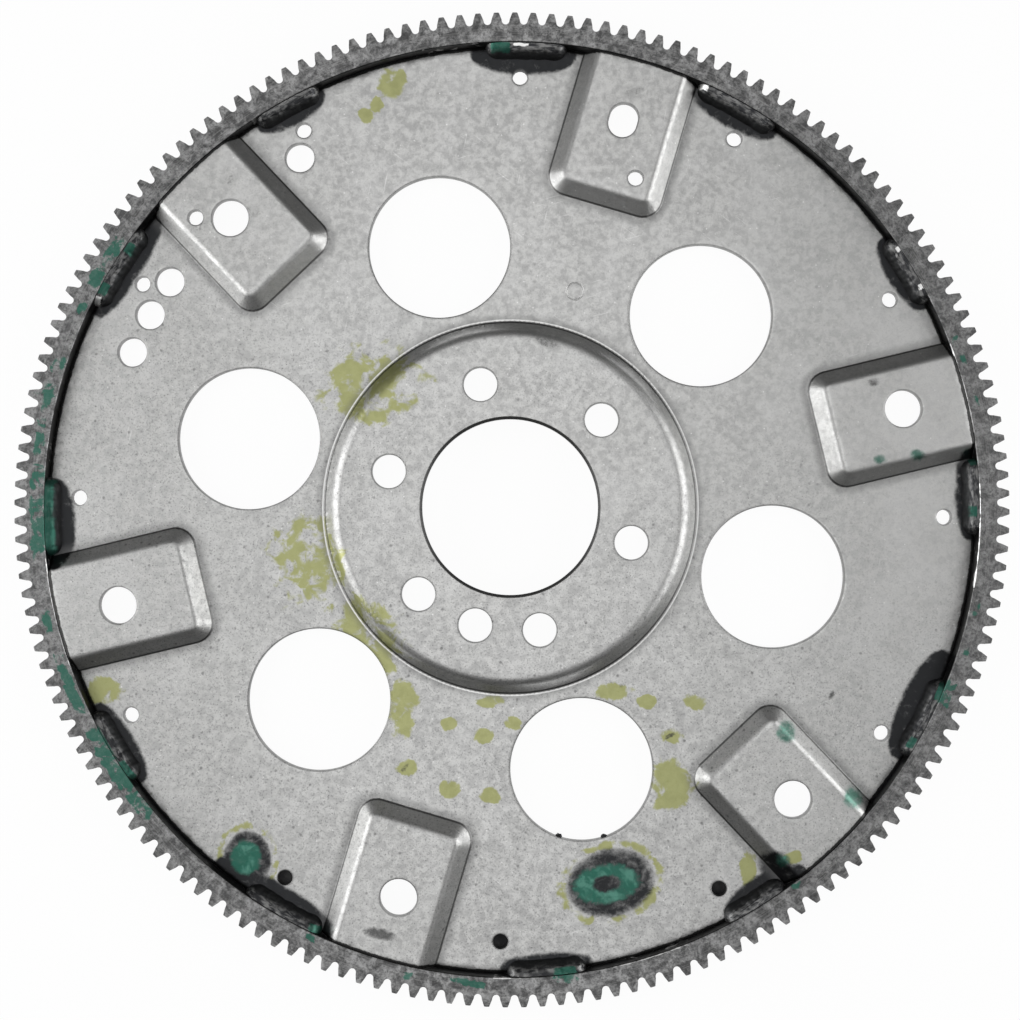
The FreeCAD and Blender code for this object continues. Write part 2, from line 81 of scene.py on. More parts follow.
def wander(x: float, y: float, z: float = 0.0) -> float:
    """Give a smooth, repeatable irregularity between about -1 and 1."""
    return noise.noise(Vector((x, y, z)))


def grey(level: float) -> Colour:
    """Give an opaque grey."""
    return level, level, level, 1.0


def add_mesh(name: str, vertices: Array, faces: Sequence[Sequence[int]], sharp: float) -> bpy.types.Object:
    """Make a smooth-shaded object from points in millimetres.

    Args:
        name: The object's name.
        vertices: Points, one row each.
        faces: Corner numbers of each face.
        sharp: Angle in degrees above which an edge stays crisp.

    Returns:
        The new object, linked to the scene.
    """
    mesh = bpy.data.meshes.new(name)
    mesh.from_pydata((np.asarray(vertices) * MM).tolist(), [], faces)
    mesh.validate()
    mesh.polygons.foreach_set("use_smooth", [True] * len(mesh.polygons))
    mesh.set_sharp_from_angle(angle=math.radians(sharp))
    piece = bpy.data.objects.new(name, mesh)
    bpy.context.collection.objects.link(piece)
    log.info("%s: %d vertices, %d faces", name, len(mesh.vertices), len(mesh.polygons))
    return piece


def quads(rows: int, columns: int, join_rows: bool = False, join_columns: bool = True,
          flip: bool = False) -> list[list[int]]:
    """Join a grid of points, numbered row by row, into faces of four corners.

    Args:
        rows: Number of rows.
        columns: Number of points in a row.
        join_rows: Whether the last row joins the first.
        join_columns: Whether each row's last point joins its first.
        flip: Whether the faces look the other way.

    Returns:
        The faces.
    """
    faces = []
    for row in range(rows if join_rows else rows - 1):
        here, there = row * columns, (row + 1) % rows * columns
        for n in range(columns if join_columns else columns - 1):
            after = (n + 1) % columns
            face = [here + n, there + n, there + after, here + after]
            faces.append([face[0], *face[:0:-1]] if flip else face)
    return faces


def plan_of(piece: bpy.types.Object) -> tuple[Array, Array]:
    """Read the x and y of a piece's vertices in millimetres."""
    places = np.empty(len(piece.data.vertices) * 3)
    piece.data.vertices.foreach_get("co", places)
    return places[0::3] / MM, places[1::3] / MM


def write_layer(piece: bpy.types.Object, name: str, values: Array) -> None:
    """Write four numbers for each vertex into a colour attribute, which a material reads."""
    layer = piece.data.attributes.new(name, "FLOAT_COLOR", "POINT")
    layer.data.foreach_set("color", values.ravel())


class Slot(Enum):
    """Material slots of the record."""

    SHEET = "sheet_steel"
    RING = "ring_steel"
    WELD = "weld_bead"


class Tint(IntEnum):
    """What a stain does, numbered as its channel in the mesh's attribute "stain"."""

    BURN = 0
    TEAL = 1
    OLIVE = 2
    SCUFF = 3


class Field:
    """A value that varies over the surface: a node's output that takes arithmetic."""

    def __init__(self, shader: "Shader", socket: bpy.types.NodeSocket) -> None:
        """Wrap an output of a material's node."""
        self.shader, self.socket = shader, socket

    def __add__(self, other: "Field | float") -> "Field":
        """Add a field or a number."""
        return self.shader.math("ADD", self, other)

    def __sub__(self, other: "Field | float") -> "Field":
        """Take away a field or a number."""
        return self.shader.math("SUBTRACT", self, other)

    def __mul__(self, other: "Field | float") -> "Field":
        """Multiply by a field or a number."""
        return self.shader.math("MULTIPLY", self, other)

    def __abs__(self) -> "Field":
        """Drop the sign."""
        return self.shader.math("ABSOLUTE", self)

    def ramp(self, low: float, high: float, start: float = 0.0, end: float = 1.0) -> "Field":
        """Map the range from low to high softly onto the range from start to end."""
        made = self.shader.node("MapRange", self, low, high, start, end, interpolation_type="SMOOTHSTEP")
        return Field(self.shader, made.outputs[0])


class Shader:
    """Writes one material's nodes, a line for each."""

    def __init__(self, name: str, base: Colour | None = None) -> None:
        """Start an empty material with its output and main shader.

        Args:
            name: The material's name.
            base: Its base colour, which later colours cover.
        """
        self.material = bpy.data.materials.new(name)
        self.material.use_nodes = True
        self.tree = self.material.node_tree
        self.tree.nodes.clear()
        self.output = self.tree.nodes.new("ShaderNodeOutputMaterial")
        self.surface = self.tree.nodes.new("ShaderNodeBsdfPrincipled")
        self.tree.links.new(self.surface.outputs[0], self.output.inputs["Surface"])
        self.base: Field | Colour | None = base

    def put(self, socket: bpy.types.NodeSocket, value: object) -> None:
        """Set an input, or link it where the value is an output.

        Args:
            socket: The input.
            value: A number, a colour, a field or another node's output.
        """
        if isinstance(value, Field):
            value = value.socket
        if isinstance(value, bpy.types.NodeSocket):
            self.tree.links.new(value, socket)
        else:
            socket.default_value = value

    def node(self, kind: str, *values: object, **settings: object) -> bpy.types.Node:
        """Add a node.

        Args:
            kind: The node's type after "ShaderNode".
            *values: Values for its first inputs.
            **settings: Properties of the node.

        Returns:
            The node.
        """
        made = self.tree.nodes.new("ShaderNode" + kind)
        for key, value in settings.items():
            setattr(made, key, value)
        for socket, value in zip(made.inputs, values):
            self.put(socket, value)
        return made

    def math(self, operation: str, a: object, b: object = 0.0) -> Field:
        """Combine two numbers or fields."""
        return Field(self, self.node("Math", a, b, operation=operation).outputs[0])

    def parts(self, kind: str, value: object) -> list[Field]:
        """Split a vector or a colour, by SeparateXYZ or SeparateColor, into its parts."""
        return [Field(self, output) for output in self.node(kind, value).outputs]

    def painted(self, name: str) -> list[Field]:
        """Read red, green, blue and alpha of a colour attribute of the mesh."""
        made = self.node("Attribute", attribute_name=name)
        return [*self.parts("SeparateColor", made.outputs["Color"]), Field(self, made.outputs["Alpha"])]

    @cached_property
    def place(self) -> bpy.types.NodeSocket:
        """Give the object's own coordinates."""
        return self.node("TexCoord").outputs["Object"]

    @cached_property
    def xyz(self) -> list[Field]:
        """Give the coordinates one by one."""
        return self.parts("SeparateXYZ", self.place)

    @cached_property
    def radius(self) -> Field:
        """Give the distance from the axis in metres."""
        return self.math("SQRT", self.xyz[0] * self.xyz[0] + self.xyz[1] * self.xyz[1])

    def rolled(self, length: float) -> bpy.types.NodeSocket:
        """Give coordinates along circles round the axis, with a length in metres for one radian."""
        angle = self.math("ARCTAN2", self.xyz[1], self.xyz[0])
        return self.node("CombineXYZ", self.radius, angle * length, self.xyz[2]).outputs[0]

    def turned(self, degrees: float, scale: Triple) -> bpy.types.NodeSocket:
        """Turn the coordinates about the axis, then stretch them.

        Args:
            degrees: Turn about Z.
            scale: Factor for each axis after the turn.

        Returns:
            The new coordinates.
        """
        turned = self.node("Mapping", self.place)
        turned.inputs["Rotation"].default_value = (0.0, 0.0, math.radians(degrees))
        stretched = self.node("Mapping", turned.outputs[0])
        stretched.inputs["Scale"].default_value = scale
        return stretched.outputs[0]

    def noise(self, scale: float, detail: float = 4.0, rough: float = 0.55, twist: float = 0.0,
              at: bpy.types.NodeSocket | None = None) -> Field:
        """Add fractal noise.

        Args:
            scale: Waves per metre.
            detail: Octaves.
            rough: Weight of the fine octaves.
            twist: Distortion.
            at: Coordinates, where they aren't the object's own.

        Returns:
            The noise's value.
        """
        made = self.node("TexNoise", self.place if at is None else at)
        for name, value in (("Scale", scale), ("Detail", detail), ("Roughness", rough), ("Distortion", twist)):
            made.inputs[name].default_value = value
        return Field(self, made.outputs[0])

    def dots(self, scale: float, inner: float, outer: float, empty: float, channel: int) -> Field:
        """Scatter round dots over some of a field of cells.

        Args:
            scale: Cells per metre.
            inner: Distance from a cell's middle where its dot starts to fade.
            outer: Distance where the dot ends.
            empty: Share of the cells that hold no dot.
            channel: Part of the cells' random colours that chooses among them.

        Returns:
            1 in a dot and 0 outside.
        """
        made = self.node("TexVoronoi", self.place)
        made.inputs["Scale"].default_value = scale
        chosen = self.parts("SeparateColor", made.outputs["Color"])[channel]
        dot = Field(self, made.outputs["Distance"]).ramp(inner, outer, 1.0, 0.0)
        return dot * self.math("GREATER_THAN", chosen, empty)

    def mix(self, factor: object, a: object, b: object) -> Field:
        """Mix two colours.

        Args:
            factor: Share of the second.
            a: First colour or field.
            b: Second colour or field.

        Returns:
            The mixed colour.
        """
        made = self.node("Mix", data_type="RGBA")
        for socket, value in ((0, factor), (6, a), (7, b)):
            self.put(made.inputs[socket], value)
        return Field(self, made.outputs[2])

    def cover(self, mask: Field, colour: object) -> None:
        """Lay a colour over the base colour so far, as the mask says."""
        self.base = self.mix(mask, self.base, colour)

    def bump(self, height: Field, strength: float, distance: float) -> None:
        """Roughen the surface.

        Args:
            height: Height of the relief.
            strength: How much of the relief counts.
            distance: Relief in metres for a height of 1.
        """
        made = self.node("Bump")
        for name, value in (("Strength", strength), ("Distance", distance), ("Height", height)):
            self.put(made.inputs[name], value)
        self.put(self.surface.inputs["Normal"], made.outputs[0])

    def finish(self, roughness: object, metallic: float) -> bpy.types.Material:
        """Set the main shader and close the material.

        Args:
            roughness: Roughness or its field.
            metallic: Metallic share, the same all over.

        Returns:
            The material.
        """
        self.put(self.surface.inputs["Base Color"], self.base)
        self.put(self.surface.inputs["Roughness"], roughness)
        self.put(self.surface.inputs["Metallic"], metallic)
        return self.material


# Finishes


TEAL_BLOOM = (0.030, 0.130, 0.095, 1.0)


@dataclass(frozen=True)
class SheetSteelFinish:
    """Pickled and lightly oiled sheet, with heat tint, rust bloom and scuffs, and painted shade at bends,
    holes, the bore and the rim.
    """

    light: Colour = (0.53, 0.53, 0.52, 1.0)
    dark: Colour = (0.43, 0.43, 0.425, 1.0)
    cloud: Colour = (0.60, 0.60, 0.595, 1.0)
    grain: Colour = grey(0.20)
    speck: Colour = grey(0.10)
    spark: Colour = (0.85, 0.85, 0.84, 1.0)
    scratch: Colour = (0.80, 0.80, 0.79, 1.0)
    scorch: Colour = (0.030, 0.031, 0.033, 1.0)
    teal: Colour = (0.030, 0.135, 0.098, 1.0)
    pale_teal: Colour = (0.10, 0.27, 0.21, 1.0)
    olive: Colour = (0.34, 0.35, 0.145, 1.0)
    scuff: Colour = grey(0.05)
    shade: Colour = grey(0.12)
    crease_shade: Colour = grey(0.04)
    hole_edge_shade: Colour = grey(0.10)
    bore_edge_shade: Colour = grey(0.03)
    rim: Colour = grey(0.010)
    light_line_radius: float = 0.0684
    bore_shade_line: tuple[float, float] = (0.03245, 0.0328)
    rim_shadow_line: tuple[float, float] = (0.1676, 0.1680)
    metallic: float = 0.95

    def build(self) -> bpy.types.Material:
        """Make the material.

        Returns:
            The material, whose stains follow the mesh's attribute "stain".
        """
        s = Shader("sheet_steel_pressed")
        mottle = s.noise(420.0, 4.0, 0.62, 0.3)
        grain = s.noise(1500.0, 2.0, 0.6)
        edge = s.noise(420.0, 4.0, 0.65, 0.5) - 0.5
        s.base = s.mix(mottle.ramp(0.34, 0.64), self.dark, self.light)
        s.cover(s.noise(60.0, 3.0, 0.55).ramp(0.40, 0.68, 0.0, 0.35), self.cloud)
        self.add_wear(s, grain)
        self.add_stains(s, edge)
        self.add_lines(s, edge)
        s.bump(grain * 0.7 + mottle, 0.5, 0.00004)
        return s.finish(mottle.ramp(0.3, 0.7, 0.47, 0.38), self.metallic)

    def add_wear(self, s: Shader, grain: Field) -> None:
        """Add grain and specks, coarser towards the lower left, sparks and scratches.

        Args:
            s: The material.
            grain: Its fine noise.
        """
        lower_left = s.noise(16.0, 2.0) * 0.24 - (s.xyz[1] + s.xyz[0] * 0.5)
        coarse = lower_left.ramp(0.02, 0.16, 0.30, 1.0)
        s.cover(grain.ramp(0.50, 0.72, 0.0, 0.6) * coarse, self.grain)
        speck = s.math("MAXIMUM", s.dots(330.0, 0.08, 0.26, 0.80, 0), s.dots(760.0, 0.08, 0.26, 0.72, 0))
        s.cover(speck * 0.55 * coarse, self.speck)
        s.cover(s.dots(520.0, 0.05, 0.2, 0.86, 1) * 0.6, self.spark)
        scratch: object = 0.0
        for turn, across in ((12.0, 2100.0), (74.0, 2600.0), (128.0, 1900.0)):
            lines = s.noise(1.0, 2.0, 0.5, at=s.turned(turn, (across, 90.0, 90.0)))
            scratch = s.math("MAXIMUM", lines.ramp(0.68, 0.75), scratch)
        s.cover(scratch * s.noise(50.0, 2.0).ramp(0.45, 0.65) * 0.4, self.scratch)

    def add_stains(self, s: Shader, edge: Field) -> None:
        """Add burns, teal, olive and scuffs where the mesh's attribute "stain" puts them.

        Args:
            s: The material.
            edge: Noise that frays their edges.
        """
        burnt, teal, olive, scuffed = s.painted("stain")
        blotch = s.noise(150.0, 3.0, 0.62, 0.4) - 0.5
        s.cover((olive + blotch * 2.2).ramp(0.30, 0.62) * olive.ramp(0.0, 0.12) * 0.92, self.olive)
        s.cover((burnt + (edge * 0.8 + blotch * 0.9)).ramp(0.15, 0.95) * burnt.ramp(0.0, 0.12), self.scorch)
        bloom = s.mix(blotch.ramp(-0.06, 0.14), self.teal, self.pale_teal)
        s.cover((teal + edge * 1.1).ramp(0.25, 0.9) * 0.88, bloom)
        s.cover((scuffed + edge * 1.6).ramp(0.3, 1.1) * scuffed.ramp(0.0, 0.15) * 0.85, self.scuff)

    def add_lines(self, s: Shader, edge: Field) -> None:
        """Add painted shade at the bends' feet, round holes and the bore, a painted shadow along the rim, and
        a thin light line round the hub's foot.

        Args:
            s: The material.
            edge: Noise that frays the rim's edge.
        """
        crease, hole = ((part - 0.5) * (2.0 * LINE_REACH) for part in s.painted("lines")[:2])
        s.cover(crease.ramp(-4.0, -0.2) * crease.ramp(-0.1, 0.3, 1.0, 0.0) * 0.5, self.shade)
        # Painted shade: a dark line just inside each bend's foot.
        s.cover(abs(crease - 0.35).ramp(0.12, 0.45, 1.0, 0.0) * 0.75, self.crease_shade)
        # A thin lighter line just outside the hub's foot.
        s.cover(abs(s.radius - self.light_line_radius).ramp(0.0001, 0.0004, 1.0, 0.0) * 0.9, self.scratch)
        # Painted shade on the rounded upper edges of the holes.
        s.cover(hole.ramp(0.25, 0.6, 1.0, 0.0) * 0.5, self.hole_edge_shade)
        # Painted shade on the bore's bevel.
        s.cover(s.radius.ramp(*self.bore_shade_line, 1.0, 0.0) * 0.9, self.bore_edge_shade)
        # Painted shadow along the disc's edge, in the corner at the ring's inner wall.
        s.cover((s.radius + edge * 0.0012).ramp(*self.rim_shadow_line) * 0.93, self.rim)


@dataclass(frozen=True)
class PlateFinish:
    """Near-black steel of the hidden weight."""

    light: Colour = grey(0.020)
    dark: Colour = (0.008, 0.008, 0.009, 1.0)
    grain: Colour = grey(0.06)
    metallic: float = 0.6

    def build(self) -> bpy.types.Material:
        """Make the material.

        Returns:
            The material.
        """
        s = Shader("sheet_steel_near_black")
        mottle = s.noise(190.0, 5.0, 0.65, 0.4)
        grain = s.noise(1300.0, 3.0, 0.6)
        s.base = s.mix(mottle.ramp(0.36, 0.68), self.dark, self.light)
        s.cover(grain.ramp(0.60, 0.75, 0.0, 0.3), self.grain)
        s.bump(mottle + grain * 0.6, 0.6, 0.00008)
        return s.finish(mottle.ramp(0.3, 0.7, 0.62, 0.48), self.metallic)


@dataclass(frozen=True)
class RingSteelFinish:
    """Dark hobbed steel with turning marks, a teal bloom, painted glints and a painted shadow on its inner
    wall.
    """

    light: Colour = grey(0.31)
    dark: Colour = (0.095, 0.095, 0.096, 1.0)
    mark: Colour = (0.36, 0.36, 0.35, 1.0)
    grain: Colour = grey(0.05)
    wall: Colour = grey(0.008)
    glint: Colour = (0.92, 0.92, 0.91, 1.0)
    wall_shadow_line: tuple[float, float] = (0.16895, 0.16912)
    metallic: float = 0.9

    def build(self) -> bpy.types.Material:
        """Make the material.

        Returns:
            The material, with turning marks along circles round the axis, and
            blooms and painted glints where the mesh's attribute "bloom" puts them.
        """
        s = Shader("ring_steel_hobbed")
        marks = s.noise(2600.0, 2.0, 0.5, at=s.rolled(0.004))
        mottle = s.noise(260.0, 5.0, 0.68, 0.5)
        grain = s.noise(1300.0, 3.0, 0.6)
        edge = s.noise(210.0, 4.0, 0.62, 0.5) - 0.5
        # The attribute "bloom" holds teal bloom in red and painted glints in green.
        bloom, glint = s.painted("bloom")[:2]
        s.base = s.mix(mottle.ramp(0.36, 0.66), self.dark, self.light)
        s.cover(marks.ramp(0.45, 0.72, 0.0, 0.35), self.mark)
        s.cover(grain.ramp(0.45, 0.68, 0.0, 0.6), self.grain)
        s.cover((bloom + edge * 4.2).ramp(0.65, 1.05) * bloom.ramp(0.0, 0.25) * 0.85, TEAL_BLOOM)
        # Painted shadow on the ring's inner wall above the disc.
        s.cover(s.radius.ramp(*self.wall_shadow_line, 1.0, 0.0) * 0.95, self.wall)
        # Painted highlights along the ring's inner edge.
        s.cover(glint * (edge + glint).ramp(0.80, 0.95), self.glint)
        s.bump(marks * 0.5 + grain, 0.5, 0.00005)
        return s.finish(mottle.ramp(0.3, 0.7, 0.48, 0.34), self.metallic)


@dataclass(frozen=True)
class WeldFinish:
    """Glossy weld metal with oxide tints, streaks along the bead and painted glints."""

    pale: Colour = (0.21, 0.21, 0.208, 1.0)
    oxide: Colour = (0.040, 0.041, 0.044, 1.0)
    burnt: Colour = (0.028, 0.029, 0.030, 1.0)
    glint: Colour = (0.90, 0.90, 0.89, 1.0)
    burnt_line: tuple[float, float] = (0.1655, 0.1668)
    metallic: float = 0.9

    def build(self) -> bpy.types.Material:
        """Make the material.

        Returns:
            The material, burnt on the side of the disc.
        """
        s = Shader("weld_bead_oxide")
        streaks = s.noise(900.0, 3.0, 0.6, 0.4, s.rolled(0.05))
        patches = s.noise(170.0, 4.0, 0.6, 0.6)
        fine = s.noise(1100.0, 4.0, 0.6)
        uneven = patches - 0.5
        bloom, glint = s.painted("bloom")[:2]
        s.base = s.mix(streaks.ramp(0.40, 0.62), self.oxide, self.pale)
        s.cover(patches.ramp(0.50, 0.62, 0.0, 0.7), self.oxide)
        s.cover((bloom + uneven * 1.6).ramp(0.35, 0.8, 0.0, 0.85) * bloom.ramp(0.0, 0.2), TEAL_BLOOM)
        burnt = (s.radius + uneven * 0.004).ramp(*self.burnt_line, 1.0, 0.0)
        s.cover(burnt * 0.94, self.burnt)
        # Painted highlights where the attribute's green holds glints.
        s.cover((glint + (streaks - 0.5) * 2.4).ramp(0.55, 0.95) * glint.ramp(0.0, 0.3), self.glint)
        s.bump(fine * 0.4 + streaks, 0.45, 0.00010)
        return s.finish(patches.ramp(0.35, 0.65, 0.34, 0.46) + burnt * 0.12, self.metallic)


# The pressed disc


def circle_height(across: Array, radius: float) -> Array:
    """Give a circle's height at distances from its middle, 0 beyond it."""
    return np.sqrt(np.clip(radius**2 - across**2, 0.0, None))


@dataclass(frozen=True)
class Step:
    """A pressed rise of the sheet, as a section over the distance in from its foot."""

    height: float
    taper: float
    shoulder: float
    foot: float

    def bends(self) -> tuple[float, float, float, float]:
        """Work out the section's two bends.

        Returns:
            The wall's slope in radians, its run, and how far the shoulder's and
            the foot's bends reach from its ends.
        """
        steep = math.radians(90.0 - self.taper)
        run = self.height * math.tan(math.radians(self.taper))
        return steep, run, self.shoulder * math.tan(steep / 2.0), self.foot * math.tan(steep / 2.0)

    def rise(self, inward: Array) -> Array:
        """Give the height over the web.

        Args:
            inward: Distance inside the foot line in millimetres, negative outside.

        Returns:
            The rise in millimetres.
        """
        _, run, reach, low = self.bends()
        arc = np.clip(inward - (run + reach), -self.shoulder, 0.0)
        top = self.height - self.shoulder + circle_height(arc, self.shoulder)
        bottom = self.foot - circle_height(np.clip(inward + low, 0.0, self.foot), self.foot)
        lean = math.radians(self.taper)
        rise = np.where(inward <= low * math.sin(lean), bottom, inward / math.tan(lean))
        rise = np.where(inward >= run - reach * math.sin(lean), top, rise)
        return np.where(inward >= run + reach, self.height, np.where(inward <= -low, 0.0, rise))

    def stations(self) -> list[float]:
        """List the distances where the mesh needs a line of points.

        Returns:
            Distances inside the foot line in millimetres.
        """
        steep, run, reach, low = self.bends()
        lines = [-low - 0.9, -low]
        lines += [-low + self.foot * math.sin(steep * n / 4.0) for n in range(1, 5)]
        lines += [run + reach - self.shoulder * math.sin(steep * n / 7.0) for n in range(7, -1, -1)]
        return lines + [run + reach + 1.0]


@dataclass(frozen=True)
class Hole:
    """A round hole, or a slot where travel is given."""

    x: float
    y: float
    radius: float
    edge: float = 0.35
    travel: float = 0.0
    turn: float = 0.0

    def distance(self, x: Array, y: Array) -> Array:
        """Measure how far points lie outside the hole's wall.

        Args:
            x: Points' x in millimetres.
            y: Points' y.

        Returns:
            Distances in millimetres, negative inside the hole.
        """
        along, across = turned_frame(x - self.x, y - self.y, self.turn)
        along = along - np.clip(along, -self.travel / 2.0, self.travel / 2.0)
        return np.hypot(along, across) - self.radius

    def loop(self, outward: float, spacing: float) -> list[Point]:
        """Trace the hole's outline at a distance.

        Args:
            outward: Distance outside the wall in millimetres.
            spacing: Rough distance between points.

        Returns:
            The outline's points.
        """
        radius = self.radius + outward
        count = max(16, int(2.0 * math.pi * self.radius / spacing) // 2 * 2)
        points = []
        for n in range(count):
            degrees = 360.0 * n / count
            c, s = direction(degrees)
            shift = self.travel / 2.0 * (1.0 if c > 1e-9 else -1.0 if c < -1e-9 else 0.0)
            along, across = radius * c + shift, radius * s
            u, v = direction(self.turn)
            points.append((self.x + along * u - across * v, self.y + along * v + across * u))
        return points


@dataclass(frozen=True)
class Stain:
    """A soft patch of tint, oval, at a place on the disc."""

    channel: Tint
    x: float
    y: float
    length: float
    width: float
    turn: float = 0.0
    strength: float = 1.0
    softness: float = 0.45
    hollow: float = 0.0

    def amount(self, x: Array, y: Array) -> Array:
        """Give the tint's strength at points.

        Args:
            x: Points' x in millimetres.
            y: Points' y.

        Returns:
            Strengths from 0 to 1.
        """
        along, across = turned_frame(x - self.x, y - self.y, self.turn)
        far = np.hypot(along / self.length, across / self.width)
        inside = 1.0 - smoothstep(far, 1.0 - self.softness, 1.0 + self.softness)
        if self.hollow:
            inside = inside * smoothstep(far, self.hollow - 0.22, self.hollow + 0.18)
        return self.strength * inside


@dataclass
class PressedDisc:
    """The stamped disc, as a height over its plan, with the sheet's underside below.

    Lengths are in millimetres and angles in degrees. An edge is the round of a
    hole's or the rim's upper corner. Each bend gives the middle and half width
    of the band inside a foot line that finer points keep clear of.
    """

    name: str = "flexplate_disc_pressed"
    radius: float = 168.8
    web_top: float = 5.8
    thickness: float = 2.6
    hub_foot: float = 67.8
    hub: Step = Step(7.6, 30.0, 5.0, 0.35)
    pad: Step = Step(5.6, 44.0, 3.6, 0.45)
    pad_angles: tuple[float, ...] = tuple(14.05 + 60.0 * n for n in range(6))
    pad_turn: float = -0.6
    pad_half_width: float = 21.6
    pad_start: float = 114.8
    pad_corner: float = 7.5
    spacing: float = 1.9
    line_spacing: float = 1.8
    fine_spacing: float = 0.85
    burn_row_degrees: float = 0.33
    burn_margin: float = 1.5
    rim_points: int = 560
    mark_points: int = 32
    hub_bend: Point = (2.6, 4.6)
    pad_bend: Point = (2.9, 4.3)
    hole_clear: float = 1.7
    bore: float = 31.7
    bore_bevel: float = 1.0
    crank_hole: float = 6.05
    crank_circle: float = 45.465
    crank_start: float = 43.58
    dowel_place: Point = (44.3, -106.4)
    window: float = 25.85
    window_edge: float = 0.5
    window_circle: float = 98.7
    window_start: float = 45.2
    converter_hole: float = 6.65
    converter_circle: float = 146.05
    slot_pad: int = 1
    slot_half_width: float = 5.15
    slot_travel: float = 2.2
    slot_turn: float = -0.36
    small_hole: float = 2.7
    small_edge: float = 0.3
    rim_circle: float = 157.6
    rim_start: float = 28.7
    pad_hole_places: tuple[Point, ...] = ((155.1, 137.36), (127.4, 69.12))
    gauge_hole: float = 5.25
    gauge_circle: float = 149.6
    gauge_angles: tuple[float, ...] = (121.02, 146.46, 151.85, 157.66)
    rim_edge: float = 0.3
    mark: Point = (23.6, 78.9)
    mark_radius: float = 3.1
    mark_half_width: float = 0.28
    mark_depth: float = 0.16
    holes: list[Hole] = field(default_factory=list)
    stains: list[Stain] = field(default_factory=list)

    def __post_init__(self) -> None:
        """List the holes and stains."""
        small, sixths = (self.small_hole, self.small_edge), [60.0 * n for n in range(6)]
        self.holes = [Hole(0.0, 0.0, self.bore, self.bore_bevel)]
        self.holes += [Hole(*polar(self.crank_circle, self.crank_start + a), self.crank_hole) for a in sixths]
        self.holes.append(Hole(*polar(*self.dowel_place), self.crank_hole))
        for turn in sixths:
            place = polar(self.window_circle, self.window_start + turn)
            self.holes.append(Hole(*place, self.window, self.window_edge))
        for number, angle in enumerate(self.pad_angles):
            if number == self.slot_pad:
                place = polar(self.converter_circle, angle + self.slot_turn)
                self.holes.append(Hole(*place, self.slot_half_width, travel=self.slot_travel, turn=angle))
            else:
                self.holes.append(Hole(*polar(self.converter_circle, angle), self.converter_hole))
        self.holes += [Hole(*polar(self.rim_circle, self.rim_start + 30.0 * n), *small) for n in range(12)]
        self.holes += [Hole(*polar(self.gauge_circle, a), self.gauge_hole) for a in self.gauge_angles]
        self.holes += [Hole(*polar(*place), *small) for place in self.pad_hole_places]
        self.stains = [*self.heat_stains(), *self.bloom_stains(), *self.scuffs()]

    @staticmethod
    def heat_stains() -> Iterable[Stain]:
        """List the marks that the weight's welds burnt through the sheet.

        Yields:
            One stain at a time.
        """
        yield Stain(Tint.BURN, -95.6, -128.4, 8.4, 10.4, 0.0, 0.86, 0.16)
        yield Stain(Tint.BURN, -95.6, -128.4, 8.6, 10.6, 0.0, 1.0, 0.12, 0.86)
        yield Stain(Tint.TEAL, -96.2, -127.4, 5.6, 6.4, 0.0, 1.0, 0.3)
        yield Stain(Tint.BURN, -91.0, -139.0, 10.0, 5.4, -35.0, 0.95, 0.35)
        yield Stain(Tint.BURN, 36.4, -136.2, 15.8, 11.9, 15.0, 0.86, 0.16)
        yield Stain(Tint.BURN, 36.4, -136.2, 16.0, 12.1, 15.0, 1.0, 0.12, 0.88)
        yield Stain(Tint.TEAL, 34.9, -136.6, 12.0, 7.2, 8.0, 1.0, 0.3, 0.42)
        yield Stain(Tint.OLIVE, 36.4, -136.2, 18.8, 14.6, 15.0, 0.85, 0.14, 0.92)
        yield Stain(Tint.OLIVE, -95.6, -127.6, 11.6, 12.6, 0.0, 0.8, 0.14, 0.92)
        yield Stain(Tint.BURN, 95.8, -130.4, 5.6, 6.9, 15.0, 0.95, 0.35)
        yield Stain(Tint.TEAL, 97.8, -127.0, 2.6, 2.6, 0.0, 0.8, 0.5)

    @staticmethod
    def bloom_stains() -> Iterable[Stain]:
        """List the olive and teal blooms on the disc.

        Yields:
            One stain at a time.
        """
        for x, y, length, width in (
            (-43.1, 155.1, 4.4, 6.2), (-49.1, 147.4, 2.6, 2.4), (-53.0, 143.6, 2.4, 2.6),
            (-49.3, 44.6, 17.0, 13.0), (-73.0, -19.2, 13.0, 15.0), (-53.0, -52.0, 13.0, 18.5),
            (-39.5, -71.7, 5.0, 9.4), (-148.5, -67.0, 6.4, 4.6), (37.8, -66.6, 6.4, 2.8),
            (-7.8, -70.6, 4.6, 2.4), (67.7, -70.6, 4.6, 2.6), (58.6, -100.2, 7.4, 8.8),
            (-22.0, -78.6, 3.0, 2.4), (0.6, -78.6, 3.0, 2.4), (-9.2, -83.0, 3.4, 2.6),
            (-37.3, -94.7, 3.4, 3.0), (-22.0, -102.3, 3.6, 3.0), (-7.4, -104.9, 3.6, 3.0),
            (49.8, -70.6, 3.4, 2.4), (57.9, -83.0, 3.2, 2.8), (85.9, -130.4, 2.6, 6.4),
            (101.6, -126.0, 2.8, 2.4),
        ):
            yield Stain(Tint.OLIVE, x, y, length * 1.1, width * 1.1, 0.0, 0.78 if length < 12.0 else 0.56, 0.4)
        for x, y, length, width in (
            (99.4, -80.8, 4.0, 4.0), (123.5, -104.5, 4.4, 4.0), (133.0, 17.2, 2.4, 1.8),
            (146.5, 18.7, 3.0, 2.2),
        ):
            yield Stain(Tint.TEAL, x, y, length, width, 0.0, 0.8, 0.5)

